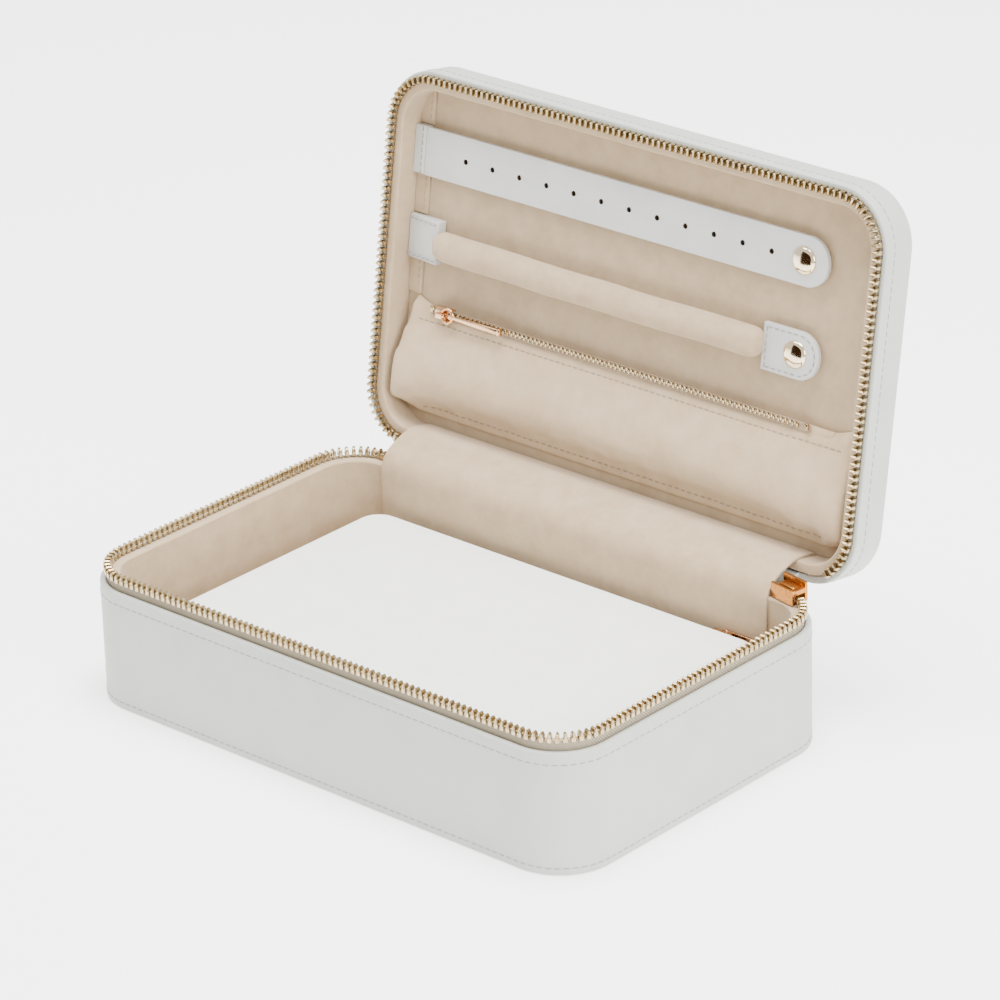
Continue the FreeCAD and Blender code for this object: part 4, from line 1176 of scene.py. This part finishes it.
# %% Pouch
p_low, p_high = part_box("pouch_top_panel")
b_low, b_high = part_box("pouch_bottom_panel")
pw, pd = p_high[0] - p_low[0], p_high[1] - p_low[1]
pm = ((p_high[0] + p_low[0]) / 2, (p_high[1] + p_low[1]) / 2)
for name, node, z0, z1 in (("pouch_top", "pouch_top_panel", p_low[2], p_high[2]),
                           ("pouch_bottom", "pouch_bottom_panel", b_low[2], b_high[2])):
    sheet = plan(name, 0, z0, pw, pd, 8 * MM, pm, segments=10)
    raise_plan(sheet, z1 - z0)
    bevel(sheet, 0.55 * MM, 4)
    if name == "pouch_top":
        edit(sheet)
        choose(sheet, "faces", lambda c, n: n.z > 0.99)
        for factor in (0.96, 0.93, 0.85, 0.7, 0.5):
            bpy.ops.mesh.extrude_region_move()
            bpy.ops.transform.resize(value=(factor, factor, 1), center_override=(*pm, z1))
        done()
        for v in sheet.data.vertices:
            if v.co.z > z1 - 0.1 * MM:
                ex = 1 - abs(v.co.x - pm[0]) / (pw / 2)
                ey = 1 - abs(v.co.y - pm[1]) / (pd / 2)
                v.co.z += 0.9 * MM * (min(1, max(0, ex) * 4) * min(1, max(0, ey) * 4)) ** 0.8
    finish_piece(sheet, "pouch", POUCH_WHITE_LIT, [node], angle=50)

softened("pouch_gusset", "pouch_side", 0.0, POUCH_WHITE_LIT)
for level, z in (("top", p_low[2]), ("bottom", b_high[2])):
    edge = plan("pouch_edge_" + level, -0.12 * MM, z - 0.35 * MM, pw, pd, 8 * MM, pm, segments=10)
    raise_plan(edge, 0.7 * MM)
    drop_faces(edge, lambda c, n: abs(n.z) > 0.9)
    thicken(edge, 0.9 * MM)
    bevel(edge, 0.25 * MM, 2)
    finish_piece(edge, "pouch", CREAM_THREAD)
softened("pouch_zip_tape", "pouch_tape", 0.0, CREAM_TWILL)
z_low, z_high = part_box("pouch_zip_teeth")
zip_middle = (0, z_low[1], (z_low[2] + z_high[2]) / 2)
turn_back = Matrix.Translation(zip_middle) @ Matrix.Rotation(math.pi / 2, 4, "X")
small_teeth("pouch_teeth", z_low[0], z_high[0], 0, 0, "pouch", "pouch_zip_teeth", False, turn_back)

# %% [markdown]
# ## Boards
# Stiff boards lie between leather and lining and don't show. Modelling them again would add nothing, so
# they keep their CAD shape and take a paper-board finish.

# %% Boards
for node in ("base_wall_board", "base_bottom_board", "lid_wall_board", "lid_top_board"):
    ob = frame["nodes"][node]
    ob.data.materials.clear()
    ob.data.materials.append(BOARD)
    print(node, "keeps its CAD shape")

# %% [markdown]
# ## Camera, floor and light
# A long lens looks down at the case from the front right. Large lamps give soft shadows where small
# ones would give hard ones. Most of the light comes from above, with a weaker lamp at either side. A
# dark card stands in front, because polished metal shows only what it reflects.

# %% Camera
azimuth, elevation, roll_angle = (math.radians(v) for v in (42.334, 24.447, -1.681))
back = Vector((math.sin(azimuth) * math.cos(elevation), -math.cos(azimuth) * math.cos(elevation),
               math.sin(elevation)))
right = Vector((math.cos(azimuth), math.sin(azimuth), 0))
up = back.cross(right)
right_rolled = right * math.cos(roll_angle) + up * math.sin(roll_angle)
up_rolled = up * math.cos(roll_angle) - right * math.sin(roll_angle)
place = (right * 17.445 + up * 72.327 + back * 1723.781) * MM
camera_data = bpy.data.cameras.new("camera")
camera_data.lens = 5056.042 / 1000 * 36
camera_data.sensor_width = 36
camera_data.clip_end = 50
camera = bpy.data.objects.new("camera", camera_data)
camera.matrix_world = Matrix((
    (right_rolled.x, up_rolled.x, back.x, place.x),
    (right_rolled.y, up_rolled.y, back.y, place.y),
    (right_rolled.z, up_rolled.z, back.z, place.z),
    (0, 0, 0, 1)))
bpy.context.scene.collection.objects.link(camera)
bpy.context.scene.camera = camera
print("lens", round(camera_data.lens, 1), "mm, from", [round(c, 3) for c in place])

# %% Floor and light
clear()
bpy.ops.mesh.primitive_plane_add(size=8, location=(0, 0, -0.05 * MM))
floor = bpy.context.object
floor.name = "floor"
mat, nodes, links, shader = new_material("white floor")
shader.inputs["Base Color"].default_value = (0.95, 0.95, 0.95, 1)
shader.inputs["Roughness"].default_value = 0.7
shader.inputs["Emission Color"].default_value = (1, 1, 1, 1)
shader.inputs["Emission Strength"].default_value = 1.3
floor.data.materials.append(mat)
print("floor", tuple(round(c, 2) for c in floor.dimensions), "m")

world = bpy.data.worlds.new("soft room")
world.use_nodes = True
world.node_tree.nodes["Background"].inputs["Color"].default_value = (1, 1, 1, 1)
world.node_tree.nodes["Background"].inputs["Strength"].default_value = 1.2
bpy.context.scene.world = world


def area_light(name, spot, size, power, target=(0, 0, 0.06)):
    data = bpy.data.lights.new(name, "AREA")
    data.size = size
    data.energy = power
    ob = bpy.data.objects.new(name, data)
    ob.location = spot
    ob.rotation_euler = (Vector(target) - Vector(spot)).to_track_quat("-Z", "Y").to_euler()
    bpy.context.scene.collection.objects.link(ob)
    print(name, "lamp", size, "m across,", power, "W")


area_light("key", (-0.8, -0.5, 1.5), 0.7, 14)
area_light("top", (0.1, 0.1, 1.6), 0.9, 68)
area_light("right", (1.5, -0.3, 0.8), 0.8, 32)

# %% A dark card
clear()
bpy.ops.mesh.primitive_plane_add(size=1, location=(-0.20, -0.61, 0.20))
card = bpy.context.object
card.name = "dark_card"
card.scale = (0.50, 0.40, 1)
card.rotation_euler = (Vector((0.07, 0.09, 0.13)) - card.location).to_track_quat("Z", "Y").to_euler()
mat, nodes, links, shader = new_material("dark card")
shader.inputs["Base Color"].default_value = (0.012, 0.006, 0.003, 1)
shader.inputs["Specular IOR Level"].default_value = 0.0
card.data.materials.append(mat)
print("dark card at", tuple(round(c, 2) for c in card.location))
